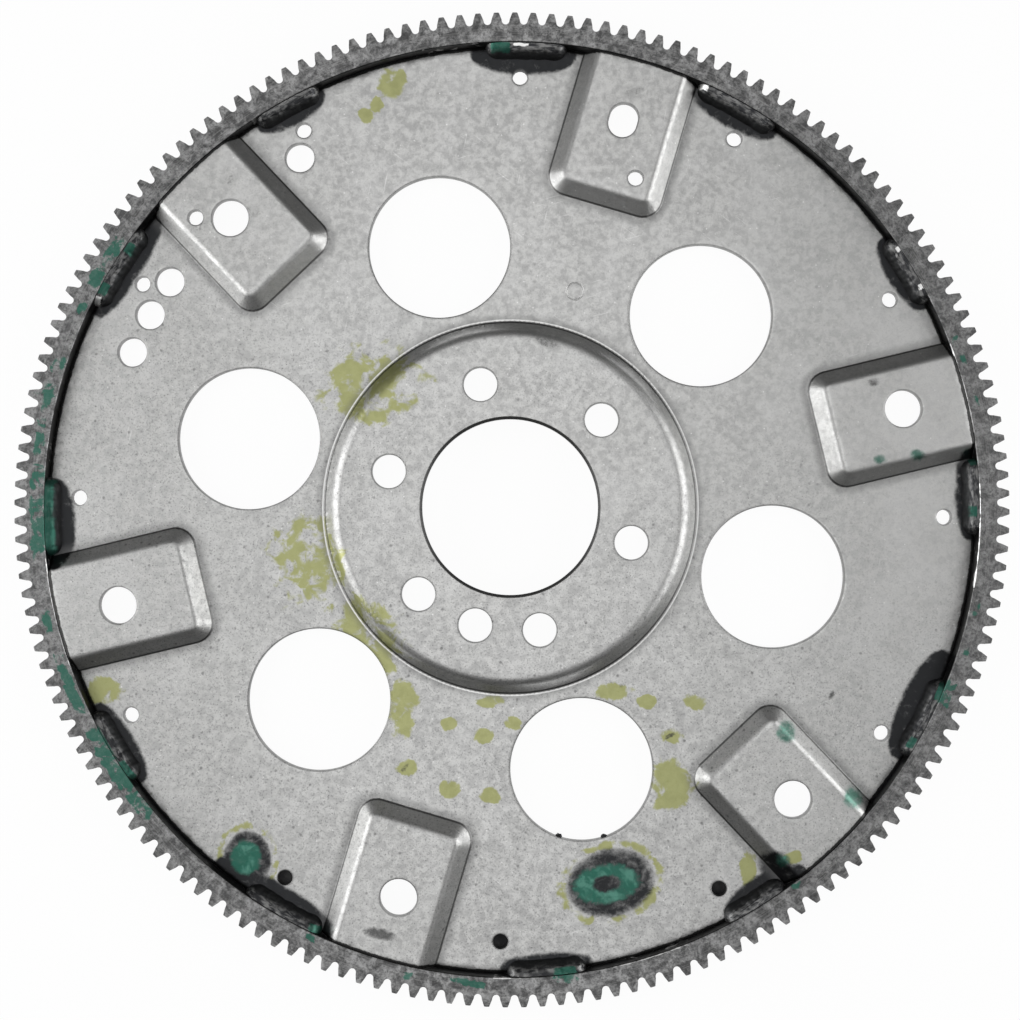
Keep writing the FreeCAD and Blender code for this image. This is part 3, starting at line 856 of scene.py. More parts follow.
    @staticmethod
    def scuffs() -> Iterable[Stain]:
        """List the dark scuffs and flecks that stand out.

        Yields:
            One stain at a time.
        """
        for x, y, length, width, turn, strength in (
            (-46.8, -153.4, 6.2, 2.1, -12.0, 1.0), (-57.0, -144.0, 2.4, 1.0, 60.0, 0.5),
            (-38.4, -94.7, 2.6, 0.9, 50.0, 0.8), (130.9, 45.0, 2.2, 1.6, 0.0, 0.9),
            (116.6, -68.1, 1.9, 0.9, 60.0, 1.0), (57.8, -83.1, 2.2, 0.8, 30.0, 0.9),
            (45.0, 150.5, 4.6, 1.6, 20.0, 0.6), (13.5, 59.0, 5.6, 2.0, -18.0, 0.7),
            (-101.0, 119.0, 3.2, 2.0, 70.0, 0.5), (-94.0, 107.0, 4.4, 3.0, 30.0, 0.5),
            (-142.0, -42.0, 3.0, 1.2, -10.0, 0.6), (-128.0, -40.6, 3.4, 1.1, 8.0, 0.5),
            (40.6, -64.8, 1.6, 0.9, 20.0, 0.7), (60.8, -118.0, 2.0, 1.0, 40.0, 0.5),
        ):
            yield Stain(Tint.SCUFF, x, y, length, width, turn, strength, 0.5)

    def pad_inward(self, x: Array, y: Array, degrees: float) -> Array:
        """Measure how far points lie inside a pad's foot.

        Args:
            x: Points' x in millimetres.
            y: Points' y.
            degrees: The pad's angle.

        Returns:
            Distances in millimetres, negative outside.
        """
        along, across = turned_frame(x, y, degrees + self.pad_turn)
        beside = np.abs(across) - (self.pad_half_width - self.pad_corner)
        before = (self.pad_start + self.pad_corner) - along
        outside = np.hypot(np.maximum(beside, 0.0), np.maximum(before, 0.0))
        return self.pad_corner - (outside + np.minimum(np.maximum(beside, before), 0.0))

    def surface(self, x: Array, y: Array) -> Array:
        """Give the height of the pressed sheet's upper side.

        Args:
            x: Points' x in millimetres.
            y: Points' y.

        Returns:
            Heights in millimetres.
        """
        z = self.web_top + self.hub.rise(self.hub_foot - np.hypot(x, y))
        for degrees in self.pad_angles:
            z = z + self.pad.rise(self.pad_inward(x, y, degrees))
        return z

    def relief(self, x: Array, y: Array) -> Array:
        """Give how much edges and stamped marks lower the upper side.

        Args:
            x: Points' x in millimetres.
            y: Points' y.

        Returns:
            Depths in millimetres.
        """
        depth = np.zeros_like(x)
        for number, hole in enumerate(self.holes):
            far = hole.distance(x, y)
            if number == 0:
                drop = np.clip(hole.edge - far, 0.0, None)
            else:
                drop = hole.edge - circle_height(np.clip(hole.edge - far, 0.0, hole.edge), hole.edge)
            depth = np.maximum(depth, drop)
        rim = self.radius - np.hypot(x, y)
        drop = self.rim_edge - circle_height(np.clip(self.rim_edge - rim, 0.0, self.rim_edge), self.rim_edge)
        off = (np.hypot(x - self.mark[0], y - self.mark[1]) - self.mark_radius) / self.mark_half_width
        return np.maximum(depth, drop) + self.mark_depth * np.clip(1.0 - off**2, 0.0, None)

    def pad_line(self, degrees: float, inward: float) -> list[Point]:
        """Trace a pad's outline at a distance inside its foot.

        Args:
            degrees: The pad's angle.
            inward: Distance inside the foot line in millimetres.

        Returns:
            Points along the line, up to the disc's edge.
        """
        half, corner = self.pad_half_width - inward, self.pad_corner - inward
        start, end = self.pad_start + inward, math.sqrt(self.radius**2 - half**2)
        local: list[Point] = []
        count = int((end - start - corner) / self.line_spacing)
        for n in range(count + 1):
            local.append((end + (start + corner - end) * n / count, half))
        turns = max(4, int(corner * 1.57 / 1.5))
        for n in range(1, turns):
            c, s = direction(90.0 * n / turns)
            local.append((start + corner - corner * s, half - corner + corner * c))
        count = int((half - corner) / self.line_spacing)
        for n in range(count + 1):
            local.append((start, (half - corner) * (1.0 - n / count)))
        local += [(u, -v) for u, v in reversed(local[:-1])]
        c, s = direction(degrees + self.pad_turn)
        return [(u * c - v * s, u * s + v * c) for u, v in local]

    def plan_points(self) -> tuple[list[Point], list[tuple[int, int]]]:
        """Lay out the mesh's points over the plan.

        Returns:
            The points, and the edges that close the holes and the rim.
        """
        points: list[Point] = []
        edges: list[tuple[int, int]] = []

        def close(loop: list[Point]) -> None:
            """Add a loop whose edges the mesh keeps.

            Args:
                loop: The loop's points in order.
            """
            first = len(points)
            points.extend(loop)
            edges.extend((first + n, first + (n + 1) % len(loop)) for n in range(len(loop)))

        lines = [self.pad_line(a, t) for a in self.pad_angles for t in self.pad.stations()]
        ends = sorted(math.atan2(p[1], p[0]) for line in lines for p in (line[0], line[-1]))
        even = [-math.pi + 2.0 * math.pi * n / self.rim_points for n in range(self.rim_points)]
        clear = 0.6 / self.radius
        angles = sorted(ends + [a for a in even if min(abs(a - e) for e in ends) > clear])
        close([(self.radius * math.cos(a), self.radius * math.sin(a)) for a in angles])
        for inset in (self.rim_edge * 0.3, self.rim_edge):
            inner = self.radius - inset
            points.extend((inner * math.cos(a), inner * math.sin(a)) for a in angles)
        for hole in self.holes:
            spacing = 0.8 if hole.radius < 8.0 else 1.5
            close(hole.loop(0.0, spacing))
            for outward in (hole.edge * 0.29, hole.edge, hole.edge + 0.8):
                points.extend(hole.loop(outward, spacing))
        for line in lines:
            points.extend(p for p in line if math.hypot(*p) < self.radius - 0.6)
        for t in self.hub.stations():
            radius = self.hub_foot - t
            count = int(2.0 * math.pi * radius / self.line_spacing)
            points.extend(polar(radius, 360.0 * n / count) for n in range(count))
        for off in (-0.6, -self.mark_half_width, -0.12, 0.12, self.mark_half_width, 0.6):
            for n in range(self.mark_points):
                x, y = polar(self.mark_radius + off, 360.0 * n / self.mark_points)
                points.append((self.mark[0] + x, self.mark[1] + y))
        points.extend(self.stain_points())
        return points + self.filling(points), edges

    def filling(self, points: list[Point]) -> list[Point]:
        """Fill the plan with staggered rows, clear of the points already there.

        Args:
            points: The points already there.

        Returns:
            The points between them.
        """
        tree = KDTree(len(points))
        for number, (x, y) in enumerate(points):
            tree.insert((x, y, 0.0), number)
        tree.balance()
        found: list[Point] = []
        pitch, clear = self.spacing * 0.866, self.spacing * 0.62
        for row in range(int(2.0 * self.radius / pitch) + 1):
            y = -self.radius + row * pitch
            for column in range(int(2.0 * self.radius / self.spacing) + 1):
                x = -self.radius + (column + 0.5 * (row % 2)) * self.spacing
                if math.hypot(x, y) < self.radius - 0.8 and tree.find((x, y, 0.0))[2] > clear:
                    found.append((x, y))
        return found

    def stain_points(self) -> list[Point]:
        """Lay finer points where the stains have edges.

        Returns:
            Points clear of the pressed steps and the holes.
        """
        step = self.fine_spacing
        spots: set[tuple[int, int]] = set()
        for stain in self.stains:
            size = max(stain.length, stain.width)
            soft = stain.channel is Tint.OLIVE and stain.length > 8.0 and not stain.hollow
            if size > 21.0 or soft:
                continue
            reach = size * 1.25 + 0.6
            for row in range(int((stain.y - reach) / step), int((stain.y + reach) / step) + 1):
                for column in range(int((stain.x - reach) / step), int((stain.x + reach) / step) + 1):
                    if math.hypot(column * step - stain.x, row * step - stain.y) < reach:
                        spots.add((column, row))
        for start, end, reach in WELD_BURNS:
            for row in range(int((end - start + 2.0) / self.burn_row_degrees)):
                degrees = start - 1.0 + self.burn_row_degrees * row
                for column in range(int(self.radius - 0.8 + self.burn_margin - reach)):
                    x, y = polar(reach - self.burn_margin + column, degrees)
                    spots.add((round(x / step), round(y / step)))
        x = np.array([spot[0] * step for spot in spots])
        y = np.array([spot[1] * step + 0.3 * step * (spot[0] % 2) for spot in spots])
        order = np.lexsort((y, x))
        x, y = x[order], y[order]
        radius = np.hypot(x, y)
        keep = radius < self.radius - 1.2
        keep &= np.abs(self.hub_foot - self.hub_bend[0] - radius) > self.hub_bend[1]
        for hole in self.holes:
            keep &= hole.distance(x, y) > self.hole_clear
        for degrees in self.pad_angles:
            keep &= np.abs(self.pad_inward(x, y, degrees) - self.pad_bend[0]) > self.pad_bend[1]
        return list(zip(x[keep].tolist(), y[keep].tolist()))

    def triangulate(self) -> tuple[Array, Array]:
        """Join the plan's points into triangles.

        Returns:
            The points, and the triangles' corner numbers, anticlockwise.
        """
        points, edges = self.plan_points()
        found = delaunay_2d_cdt([Vector(p) for p in points], edges, [], 0, 1e-5)
        plan = np.array([tuple(v) for v in found[0]])
        triangles = np.array([f for f in found[2] if len(f) == 3])
        middle = plan[triangles].mean(axis=1)
        keep = np.hypot(middle[:, 0], middle[:, 1]) < self.radius
        for hole in self.holes:
            keep &= hole.distance(middle[:, 0], middle[:, 1]) > 0.0
        triangles = triangles[keep]
        a, b, c = (plan[triangles[:, n]] for n in range(3))
        turn = (b[:, 0] - a[:, 0]) * (c[:, 1] - a[:, 1]) - (b[:, 1] - a[:, 1]) * (c[:, 0] - a[:, 0])
        triangles[turn < 0] = triangles[turn < 0][:, ::-1]
        kept = np.unique(triangles)
        number = np.zeros(len(plan), dtype=int)
        number[kept] = np.arange(len(kept))
        return plan[kept], number[triangles]

    def build(self) -> bpy.types.Object:
        """Make the disc.

        Returns:
            The disc, with its stains and lines as attributes.
        """
        plan, triangles = self.triangulate()
        x, y, count = plan[:, 0], plan[:, 1], len(plan)
        top = np.column_stack((x, y, self.surface(x, y) - self.relief(x, y)))
        faces = triangles.tolist() + (triangles[:, ::-1] + count).tolist()
        used = [edge for a, b, c in triangles.tolist() for edge in ((a, b), (b, c), (c, a))]
        known = set(used)
        faces += [[two, one, one + count, two + count] for one, two in used if (two, one) not in known]
        piece = add_mesh(self.name, np.vstack((top, self.underside(x, y))), faces, 38.0)
        self.paint(piece)
        return piece

    def underside(self, x: Array, y: Array) -> Array:
        """Set points back from the upper side by the sheet's thickness.

        Args:
            x: Points' x in millimetres.
            y: Points' y.

        Returns:
            The points of the underside, kept inside the disc's edge.
        """
        small = 0.02
        dx = (self.surface(x + small, y) - self.surface(x - small, y)) / (2.0 * small)
        dy = (self.surface(x, y + small) - self.surface(x, y - small)) / (2.0 * small)
        back = self.thickness / np.sqrt(1.0 + dx**2 + dy**2)
        x, y, z = x + back * dx, y + back * dy, self.surface(x, y) - back
        shrink = np.minimum(1.0, self.radius / np.maximum(np.hypot(x, y), 1e-6))
        return np.column_stack((x * shrink, y * shrink, z))

    def paint(self, piece: bpy.types.Object) -> None:
        """Write the stains into the mesh.

        Args:
            piece: The disc.
        """
        x, y = plan_of(piece)
        tint = np.zeros((len(x), 4))
        for stain in self.stains:
            tint[:, stain.channel] = np.maximum(tint[:, stain.channel], stain.amount(x, y))
        radius, angle = np.hypot(x, y), np.degrees(np.arctan2(y, x))
        for start, end, reach in WELD_BURNS:
            middle, half = (start + end) / 2.0, (end - start) / 2.0
            off = (angle - middle + 180.0) % 360.0 - 180.0
            lens = 1.0 - (off / half) ** 2
            inner = 167.2 - (167.2 - reach) * np.clip(lens, 0.0, None) ** 0.45
            amount = smoothstep(radius - inner, -1.3, 1.5) * smoothstep(lens, -0.06, 0.12)
            tint[:, Tint.BURN] = np.maximum(tint[:, Tint.BURN], amount)
        write_layer(piece, "stain", tint)
        crease = self.hub_foot - radius
        for degrees in self.pad_angles:
            inward = self.pad_inward(x, y, degrees)
            crease = np.where(np.abs(inward) < np.abs(crease), inward, crease)
        hole = np.min([hole.distance(x, y) for hole in self.holes], axis=0)
        lines = np.column_stack((crease, hole, np.zeros((len(x), 2))))
        write_layer(piece, "lines", np.clip(lines, -LINE_REACH, LINE_REACH) / (2.0 * LINE_REACH) + 0.5)


# Where the ring's welds burnt the disc: start and end in degrees, inner radius in millimetres
WELD_BURNS = (
    (-4.2, 7.3, 161.6), (25.5, 36.0, 160.5), (54.3, 66.6, 159.9), (81.5, 95.2, 158.4),
    (114.0, 123.8, 160.3), (140.4, 155.4, 160.3), (176.2, 187.9, 158.8), (205.2, 217.0, 160.8),
    (230.0, 247.6, 160.0), (268.6, 280.4, 162.1), (297.6, 309.5, 160.5), (326.7, 342.0, 157.5),
)

# Teal bloom on the ring and its welds: start and end in degrees, inner and outer radius in millimetres
RING_BLOOMS = (
    (19.8, 21.2, 170.0, 172.5), (17.2, 18.8, 170.5, 173.0), (11.8, 13.3, 170.5, 173.0),
    (164.3, 170.5, 170.5, 174.5), (161.3, 163.8, 170.0, 173.8), (154.3, 155.8, 170.0, 173.0),
    (145.2, 152.3, 169.5, 174.0), (257.0, 258.3, 171.0, 173.5), (244.2, 245.8, 169.5, 171.5),
    (207.8, 220.8, 168.8, 174.0), (197.8, 206.2, 170.0, 174.0), (192.3, 195.4, 170.5, 174.0),
    (174.8, 186.4, 168.8, 174.2), (170.8, 174.2, 170.5, 174.2), (346.8, 348.4, 170.5, 173.0),
    (341.8, 343.4, 170.5, 173.0), (335.2, 338.6, 169.0, 172.5), (275.2, 278.4, 169.0, 171.8),
    (262.3, 266.8, 170.5, 173.2), (306.2, 307.8, 169.0, 171.0), (90.0, 92.4, 165.8, 168.9),
    (176.5, 186.2, 165.5, 168.8), (145.0, 146.6, 165.0, 168.5), (151.0, 152.6, 166.5, 168.9),
    (213.0, 216.0, 167.0, 168.9), (275.4, 278.2, 166.8, 168.9), (244.4, 246.0, 166.6, 168.9),
    (328.8, 330.4, 166.4, 168.4), (5.2, 6.4, 167.0, 168.9), (-1.2, 0.2, 165.6, 168.2),
    (335.5, 338.0, 167.4, 168.9),
)

# White glints along the ring's inner edge, in the same units
RING_GLINTS = (
    (9.0, 20.5, 168.9, 169.5), (-10.0, 3.0, 168.9, 169.4), (282.5, 292.5, 168.9, 169.5),
    (267.8, 271.5, 168.9, 169.5), (186.0, 200.0, 168.9, 169.3), (93.0, 102.0, 168.9, 169.2),
    (171.0, 179.0, 168.9, 169.2), (115.0, 124.0, 168.9, 169.2),
)

# White glints on the welds
WELD_GLINTS = (
    (64.6, 66.2, 167.0, 169.2), (152.8, 154.4, 166.8, 169.0), (186.4, 188.2, 166.8, 169.4),
    (246.2, 247.0, 167.0, 169.0), (307.0, 308.2, 167.4, 169.2), (33.2, 34.0, 167.6, 169.2),
    (27.8, 28.6, 167.6, 169.2), (87.6, 89.6, 167.6, 168.8),
)


def paint_blooms_and_glints(piece: bpy.types.Object, glints: Sequence[tuple[float, ...]]) -> None:
    """Write the teal blooms and white glints into a mesh round the axis.

    Args:
        piece: The ring or a weld.
        glints: Start and end in degrees, inner and outer radius in millimetres.
    """
    x, y = plan_of(piece)
    radius, angle = np.hypot(x, y), np.degrees(np.arctan2(y, x))
    tint = np.zeros((len(radius), 4))
    for channel, spans, soft in ((0, RING_BLOOMS, 0.5), (1, glints, 0.2)):
        for start, end, inner, outer in spans:
            half = (end - start) / 2.0
            off = np.abs((angle - start - half + 180.0) % 360.0 - 180.0)
            amount = 1.0 - smoothstep(off, half - soft, half + soft)
            amount *= smoothstep(radius, inner - soft, inner + 0.1)
            amount *= 1.0 - smoothstep(radius, outer - 0.1, outer + soft)
            tint[:, channel] = np.maximum(tint[:, channel], amount)
    write_layer(piece, "bloom", tint)


# The starter ring


@dataclass
class ToothedRing:
    """The starter ring with involute teeth and round tooth roots.

    Lengths are in millimetres and angles in degrees. An edge is the bevel of the
    ring's inner corners, and broken is that of the teeth's upper corners.
    """

    name: str = "starter_ring_toothed"
    teeth: int = 168
    module: float = 25.4 / 12.0
    addendum: float = 25.4 / 14.0
    dedendum: float = 2.6
    pressure: float = 20.0
    backlash: float = 0.2
    phase: float = -0.55
    inner: float = 168.9
    width: float = 11.1
    lead_in: float = 1.4
    root_round: float = 1.35
    edge: float = 0.3
    broken: float = 0.14
    face_insets: tuple[float, ...] = (0.3, 1.3, 2.4, 3.5, 4.6)

    def half_tooth(self, radius: float) -> float:
        """Give half a tooth's width as an angle.

        Args:
            radius: Where on the tooth, in millimetres.

        Returns:
            The angle in radians.
        """
        pitch = self.teeth * self.module / 2.0
        alpha = math.radians(self.pressure)
        here = math.acos(min(1.0, pitch * math.cos(alpha) / radius))
        at_pitch = (math.pi * self.module / 2.0 - self.backlash) / 2.0 / pitch
        return at_pitch + (math.tan(alpha) - alpha) - (math.tan(here) - here)

    def outline(self) -> list[Point]:
        """Trace one tooth and the space after it.

        Returns:
            Radius in millimetres and angle in radians of each point.
        """
        pitch = self.teeth * self.module / 2.0
        tip, root = pitch + self.addendum, pitch - self.dedendum
        space = math.pi / self.teeth
        centre = root + self.root_round
        flank = [tip - 0.12, tip - 0.8, pitch, pitch - 0.7]
        half = self.half_tooth(tip)
        points = [(tip, -half * 0.45), (tip, half * 0.45), (tip - 0.02, half * 0.86)]
        points += [(radius, self.half_tooth(radius)) for radius in flank]
        for n in range(1, 8):
            c, s = direction(-162.0 + 144.0 * (n - 1) / 6.0)
            points.append((centre + self.root_round * s, space + self.root_round * c / centre))
        points += [(radius, 2.0 * space - self.half_tooth(radius)) for radius in reversed(flank)]
        points.append((tip - 0.02, 2.0 * space - half * 0.86))
        return points

    def build(self) -> bpy.types.Object:
        """Make the ring as loops of points joined in quads.

        Returns:
            The ring.
        """
        one = self.outline()
        radii, angles = [], []
        for n in range(self.teeth):
            shift = math.radians(self.phase) + 2.0 * math.pi * n / self.teeth
            radii += [radius for radius, _ in one]
            angles += [angle + shift for _, angle in one]
        outer, angle = np.array(radii), np.array(angles)
        tip = self.teeth * self.module / 2.0 + self.addendum
        top = self.width
        loops = [(self.inner, top - self.edge)]
        loops += [(self.inner + inset, top) for inset in self.face_insets]
        loops += [
            (np.minimum(outer - 0.5, tip - 4.9), top),
            (outer - self.broken, top),
            (outer, top - self.broken),
            (outer, self.lead_in),
            (np.minimum(outer, tip - self.lead_in * 0.5), self.lead_in * 0.5),
            (np.minimum(outer, tip - self.lead_in), 0.0),
            (self.inner + 3.0, 0.0),
            (self.inner + self.edge, 0.0),
            (self.inner, self.edge),
        ]
        count = len(angle)
        rows = [np.column_stack((r * np.cos(angle), r * np.sin(angle), np.full(count, z))) for r, z in loops]
        piece = add_mesh(self.name, np.vstack(rows), quads(len(rows), count, join_rows=True), 36.0)
        paint_blooms_and_glints(piece, RING_GLINTS)
        return piece


# Welds


@dataclass
class Bead:
    """A weld bead with ripples, laid along a path in the corner of two faces.

    Lengths are in millimetres. The leg is the bead's width on either face, the
    bulge its height over the straight line between the legs, and the ripple the
    distance from one ripple to the next.
    """

    name: str
    node: str
    length: float
    leg: float
    corner: Corner
    seed: float
    bulge: float = 0.9
    ripple: float = 1.9
    ripple_depth: float = 0.07
    lump_height: float = 0.24
    sink: float = 0.15
    step: float = 0.4
    around: int = 15

    def build(self) -> bpy.types.Object:
        """Make the bead.

        Returns:
            The bead, closed at its rounded ends.
        """
        count = max(24, int(self.length / self.step))
        rows = []
        for n in range(count + 1):
            s = self.length * (n / count - 0.5)
            place, out, up = self.corner(s)
            near_end = (self.length / 2.0 - abs(s)) / (self.leg * 0.95)
            full = math.sqrt(max(0.0, 1.0 - (1.0 - min(near_end, 1.0)) ** 2))
            wide = self.leg * full * (1.0 + 0.07 * wander(s * 0.35, self.seed))
            high = self.leg * full * (1.0 + 0.05 * wander(s * 0.3, self.seed, 4.0))
            row = [place - self.sink * up + 0.02 * out]
            for k in range(self.around):
                t = k / (self.around - 1)
                arch = math.sin(math.pi * t)
                lag = 0.9 * arch + 0.25 * wander(s * 0.5, t * 2.0, self.seed)
                wave = abs(math.sin(math.pi * (s / self.ripple + 0.42 * lag + self.seed)))
                lump = self.lump_height * wander(s * 0.45, t * 3.0, self.seed + 9.0)
                dip = self.ripple_depth * (1.0 - wave) * min(1.0, arch * 1.6)
                push = full * (self.bulge * arch - dip + lump * arch)
                base = out * wide * (1.0 - t) + up * high * t
                row.append(place + base + (out + up) * 0.7071 * push)
            rows.append(row)
        width = self.around + 1
        vertices = np.array([point for row in rows for point in row])
        middle = rows[count // 2]
        side = np.cross(rows[1][0] - rows[0][0], middle[1] - middle[0])
        flip = float(np.dot(side, middle[-1] - middle[0])) < 0.0
        faces = quads(count + 1, width, flip=not flip)
        for n, turned in ((0, flip), (count, not flip)):
            cap = [n * width + k for k in range(width)]
            faces.append(cap if turned else cap[::-1])
        piece = add_mesh(self.name, vertices, faces, 75.0)
        paint_blooms_and_glints(piece, WELD_GLINTS)
        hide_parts(self.node)
        return piece


def arc_corner(radius: float, height: float, degrees: float, up: float) -> Corner:
    """Describe a corner that runs along a circle round the axis.

    Args:
        radius: The circle's radius in millimetres.
        height: The corner's height.
        degrees: Angle of the bead's middle.
        up: 1 where the bead stands on the sheet, -1 where it hangs below it.

    Returns:
        A function from the distance along the bead to the corner's place and the
        directions out along the sheet and along the wall.
    """

    def place(s: float) -> tuple[Array, Array, Array]:
        """Give the corner at a distance from the bead's middle.

        Args:
            s: The distance in millimetres.

        Returns:
            The corner's place and the two directions.
        """
        c, n = direction(degrees + math.degrees(s / radius))
        return np.array((radius * c, radius * n, height)), np.array((-c, -n, 0.0)), np.array((0.0, 0.0, up))

    return place


def straight_corner(x: float, y: float, height: float, side: float) -> Corner:
    """Describe a corner under the sheet along an upright end of the weight.

    Args:
        x: The end's x in millimetres.
        y: The bead's middle.
        height: The corner's height.
        side: 1 on the right, -1 on the left.

    Returns:
        A function like that of arc_corner.
    """

    def place(s: float) -> tuple[Array, Array, Array]:
        """Give the corner at a distance from the bead's middle.

        Args:
            s: The distance in millimetres.

        Returns:
            The corner's place and the two directions.
        """
        return np.array((x, y + s, height)), np.array((side, 0.0, 0.0)), np.array((0.0, 0.0, -1.0))

    return place


@dataclass
class Welds:
    """Every weld of the part.

    The ring's welds are listed by their angle from the first pad and their
    length; they stand against the ring's wall on the disc, and the weight's hang
    below it. Lengths are in millimetres and angles in degrees.
    """

    ring: tuple[tuple[float, float], ...] = (
        (-12.75, 28.0), (16.65, 27.5), (46.45, 32.0), (73.95, 30.0), (104.95, 26.0), (134.45, 33.0),
        (167.05, 29.0), (197.05, 29.0), (226.65, 31.5), (260.45, 29.0), (287.75, 25.5), (318.95, 31.0),
    )
    first_pad: float = 14.05
    wall_radius: float = 168.9
    sheet_top: float = 5.8
    sheet_bottom: float = 3.2
    leg: float = 4.7
    weight_leg: float = 2.5
    weight_inner: float = 139.0
    weight_outer: float = 164.5
    weight_half_width: float = 94.4

    def build(self) -> list[bpy.types.Object]:
        """Make the ring's twelve welds and the weight's three.

        Returns:
            The beads.
        """
        beads = []
        for number, (on, length) in enumerate(self.ring, 1):
            node = f"ring_weld_{number:02d}"
            corner = arc_corner(self.wall_radius, self.sheet_top, self.first_pad + on, 1.0)
            beads.append(Bead(f"{node}_bead", node, length, self.leg, corner, 1.37 * number))
        end, low = math.sqrt(self.weight_outer**2 - self.weight_half_width**2), self.sheet_bottom
        hidden = [("inner", 23.0, arc_corner(self.weight_inner, low, -75.0, -1.0), 31.0)]
        for name, side, inset, length in (("left", -1.0, 9.45, 17.0), ("right", 1.0, 2.75, 9.5)):
            corner = straight_corner(side * self.weight_half_width, inset - end, low, side)
            hidden.append((name, length, corner, 40.0 + side))
        for name, length, corner, seed in hidden:
            node = f"weight_weld_{name}"
            looks = {"bulge": 0.35, "ripple": 1.5, "around": 11}
            beads.append(Bead(f"{node}_bead", node, length, self.weight_leg, corner, seed, **looks))
        return [bead.build() for bead in beads]


@dataclass
class MeltDrop:
    """A drop of weld metal that stands at a window's edge."""

    name: str
    place: Triple
    size: Triple
    spiky: float
    seed: float

    def build(self) -> bpy.types.Object:
        """Make the drop.

        Returns:
            The drop, an uneven lump.
        """
        rings, around = 9, 16
        vertices = []
        for i in range(rings + 1):
            tilt = math.pi * i / rings
            for k in range(around):
                turn = 2.0 * math.pi * k / around
                flat = math.sin(tilt)
                way = Vector((flat * math.cos(turn), flat * math.sin(turn), math.cos(tilt)))
                lump = noise.noise(way * 1.7 + Vector((self.seed, 0.0, 0.0)))
                spike = max(0.0, noise.noise(way * 3.3 + Vector((0.0, self.seed, 0.0))))
                swell = 1.0 + 0.22 * lump + self.spiky * spike
                vertices.append([self.place[n] + self.size[n] * swell * way[n] for n in range(3)])
        piece = add_mesh(self.name, np.array(vertices), quads(rings + 1, around), 80.0)
        return piece


# The studio


@dataclass(frozen=True)
class Lamp:
    """A softbox, with its place and size in metres and its power in watts."""

    name: str
    place: Triple
    size: tuple[float, float]
    power: float

    def build(self) -> None:
        """Hang the lamp, facing the part."""
        data = bpy.data.lights.new(self.name, "AREA")
        data.shape = "RECTANGLE"
        data.size, data.size_y = self.size
        data.energy = self.power
        lamp = bpy.data.objects.new(self.name, data)
        lamp.location = self.place
        lamp.rotation_euler = (-Vector(self.place)).to_track_quat("-Z", "Y").to_euler()
        bpy.context.collection.objects.link(lamp)


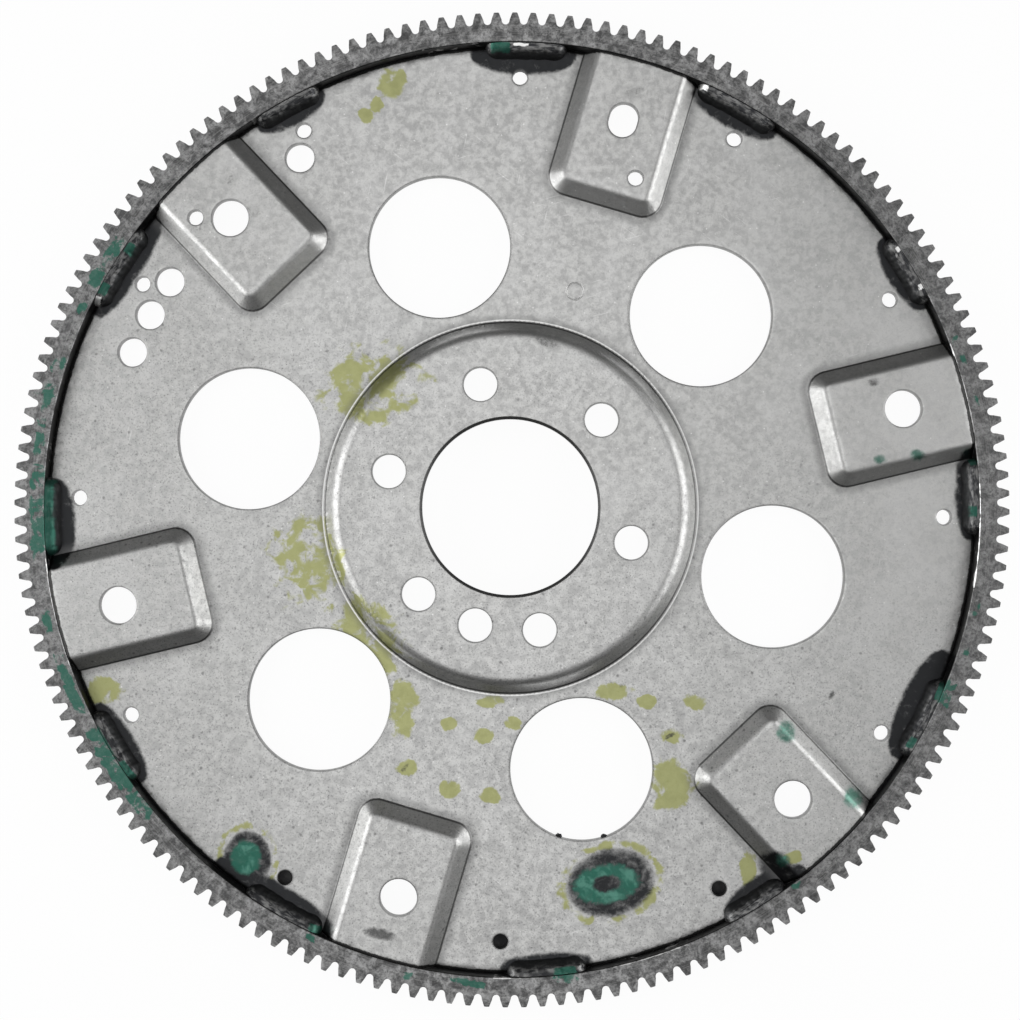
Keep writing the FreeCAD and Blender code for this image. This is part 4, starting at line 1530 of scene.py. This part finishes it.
@dataclass
class Studio:
    """Floor, lamps, world and camera, in millimetres and degrees."""

    camera_place: Triple = (5.89, -9.81, 541.4)
    camera_tilt: Triple = (0.947, 0.639, 0.0)
    lens: float = 51.88
    floor_half: float = 1500.0
    floor_steps: int = 13
    floor_gap: float = 0.02
    world: float = 0.03
    lamps: tuple[Lamp, ...] = (
        Lamp("overhead_softbox", (-0.06, 0.0, 1.3), (1.9, 0.9), 7.6),
        Lamp("left_softbox", (-0.66, 0.0, 0.30), (0.74, 0.66), 4.4),
        Lamp("right_softbox", (0.66, 0.0, 0.30), (0.74, 0.66), 4.0),
    )

    def floor(self) -> None:
        """Lay the pale floor, which keeps the part's shadow."""
        steps = np.linspace(-self.floor_half, self.floor_half, self.floor_steps)
        points = [(x, y, -self.floor_gap) for y in steps for x in steps]
        faces = quads(len(steps), len(steps), join_columns=False, flip=True)
        piece = add_mesh("studio_floor", np.array(points), faces, 40.0)
        s = Shader("studio_floor", grey(0.9))
        piece.data.materials.append(s.finish(0.9, 0.0))
        glow = s.node("Emission", grey(1.0), 1.0)
        path = s.node("LightPath").outputs
        mirrored = s.math("MAXIMUM", path["Is Glossy Ray"], path["Is Transmission Ray"])
        seen = s.math("MAXIMUM", path["Is Camera Ray"], mirrored)
        both = s.node("MixShader", seen * 0.95, s.surface.outputs[0], glow.outputs[0])
        s.put(s.output.inputs["Surface"], both.outputs[0])

    def build(self) -> None:
        """Set up the whole studio."""
        self.floor()
        for lamp in self.lamps:
            lamp.build()
        world = bpy.data.worlds.new("studio_world")
        world.use_nodes = True
        sky = world.node_tree.nodes["Background"]
        sky.inputs["Color"].default_value = grey(1.0)
        sky.inputs["Strength"].default_value = self.world
        bpy.context.scene.world = world
        data = bpy.data.cameras.new("camera")
        data.lens = self.lens
        data.sensor_width = 36.0
        data.clip_start, data.clip_end = 0.01, 20.0
        camera = bpy.data.objects.new("camera", data)
        camera.location = Vector(self.camera_place) * MM
        camera.rotation_euler = [math.radians(tilt) for tilt in self.camera_tilt]
        bpy.context.collection.objects.link(camera)
        bpy.context.scene.camera = camera
        bpy.context.scene.view_settings.view_transform = "Standard"


@dataclass
class Flexplate:
    """The whole part."""

    disc: PressedDisc = field(default_factory=PressedDisc)
    ring: ToothedRing = field(default_factory=ToothedRing)
    welds: Welds = field(default_factory=Welds)
    drops: tuple[MeltDrop, ...] = (
        MeltDrop("window_drop_spiky", (17.6, -119.7, 4.4), (1.0, 0.9, 1.1), 0.9, 2.0),
        MeltDrop("window_drop_round", (34.1, -119.7, 4.4), (1.1, 1.0, 1.1), 0.2, 5.0),
    )

    def build(self) -> None:
        """Make every piece and dress it."""
        sheet, plate = SheetSteelFinish().build(), PlateFinish().build()
        ring_steel, weld = RingSteelFinish().build(), WeldFinish().build()
        disc = self.disc.build()
        disc.data.materials.append(sheet)
        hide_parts("flexplate_disc")
        ring = self.ring.build()
        ring.data.materials.append(ring_steel)
        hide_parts("starter_ring_gear")
        pieces = [disc, ring]
        for piece in self.welds.build() + [drop.build() for drop in self.drops]:
            piece.data.materials.append(weld)
            pieces.append(piece)
        for piece in pieces:
            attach(piece, "root")
        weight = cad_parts["balance_weight"]
        weight.data.materials.clear()
        weight.data.materials.append(plate)


def main() -> None:
    """Dress the part and light it."""
    logging.basicConfig(level=logging.INFO, format="%(name)s: %(message)s")
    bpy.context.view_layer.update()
    Studio().build()
    Flexplate().build()


if __name__ == "__main__":
    main()
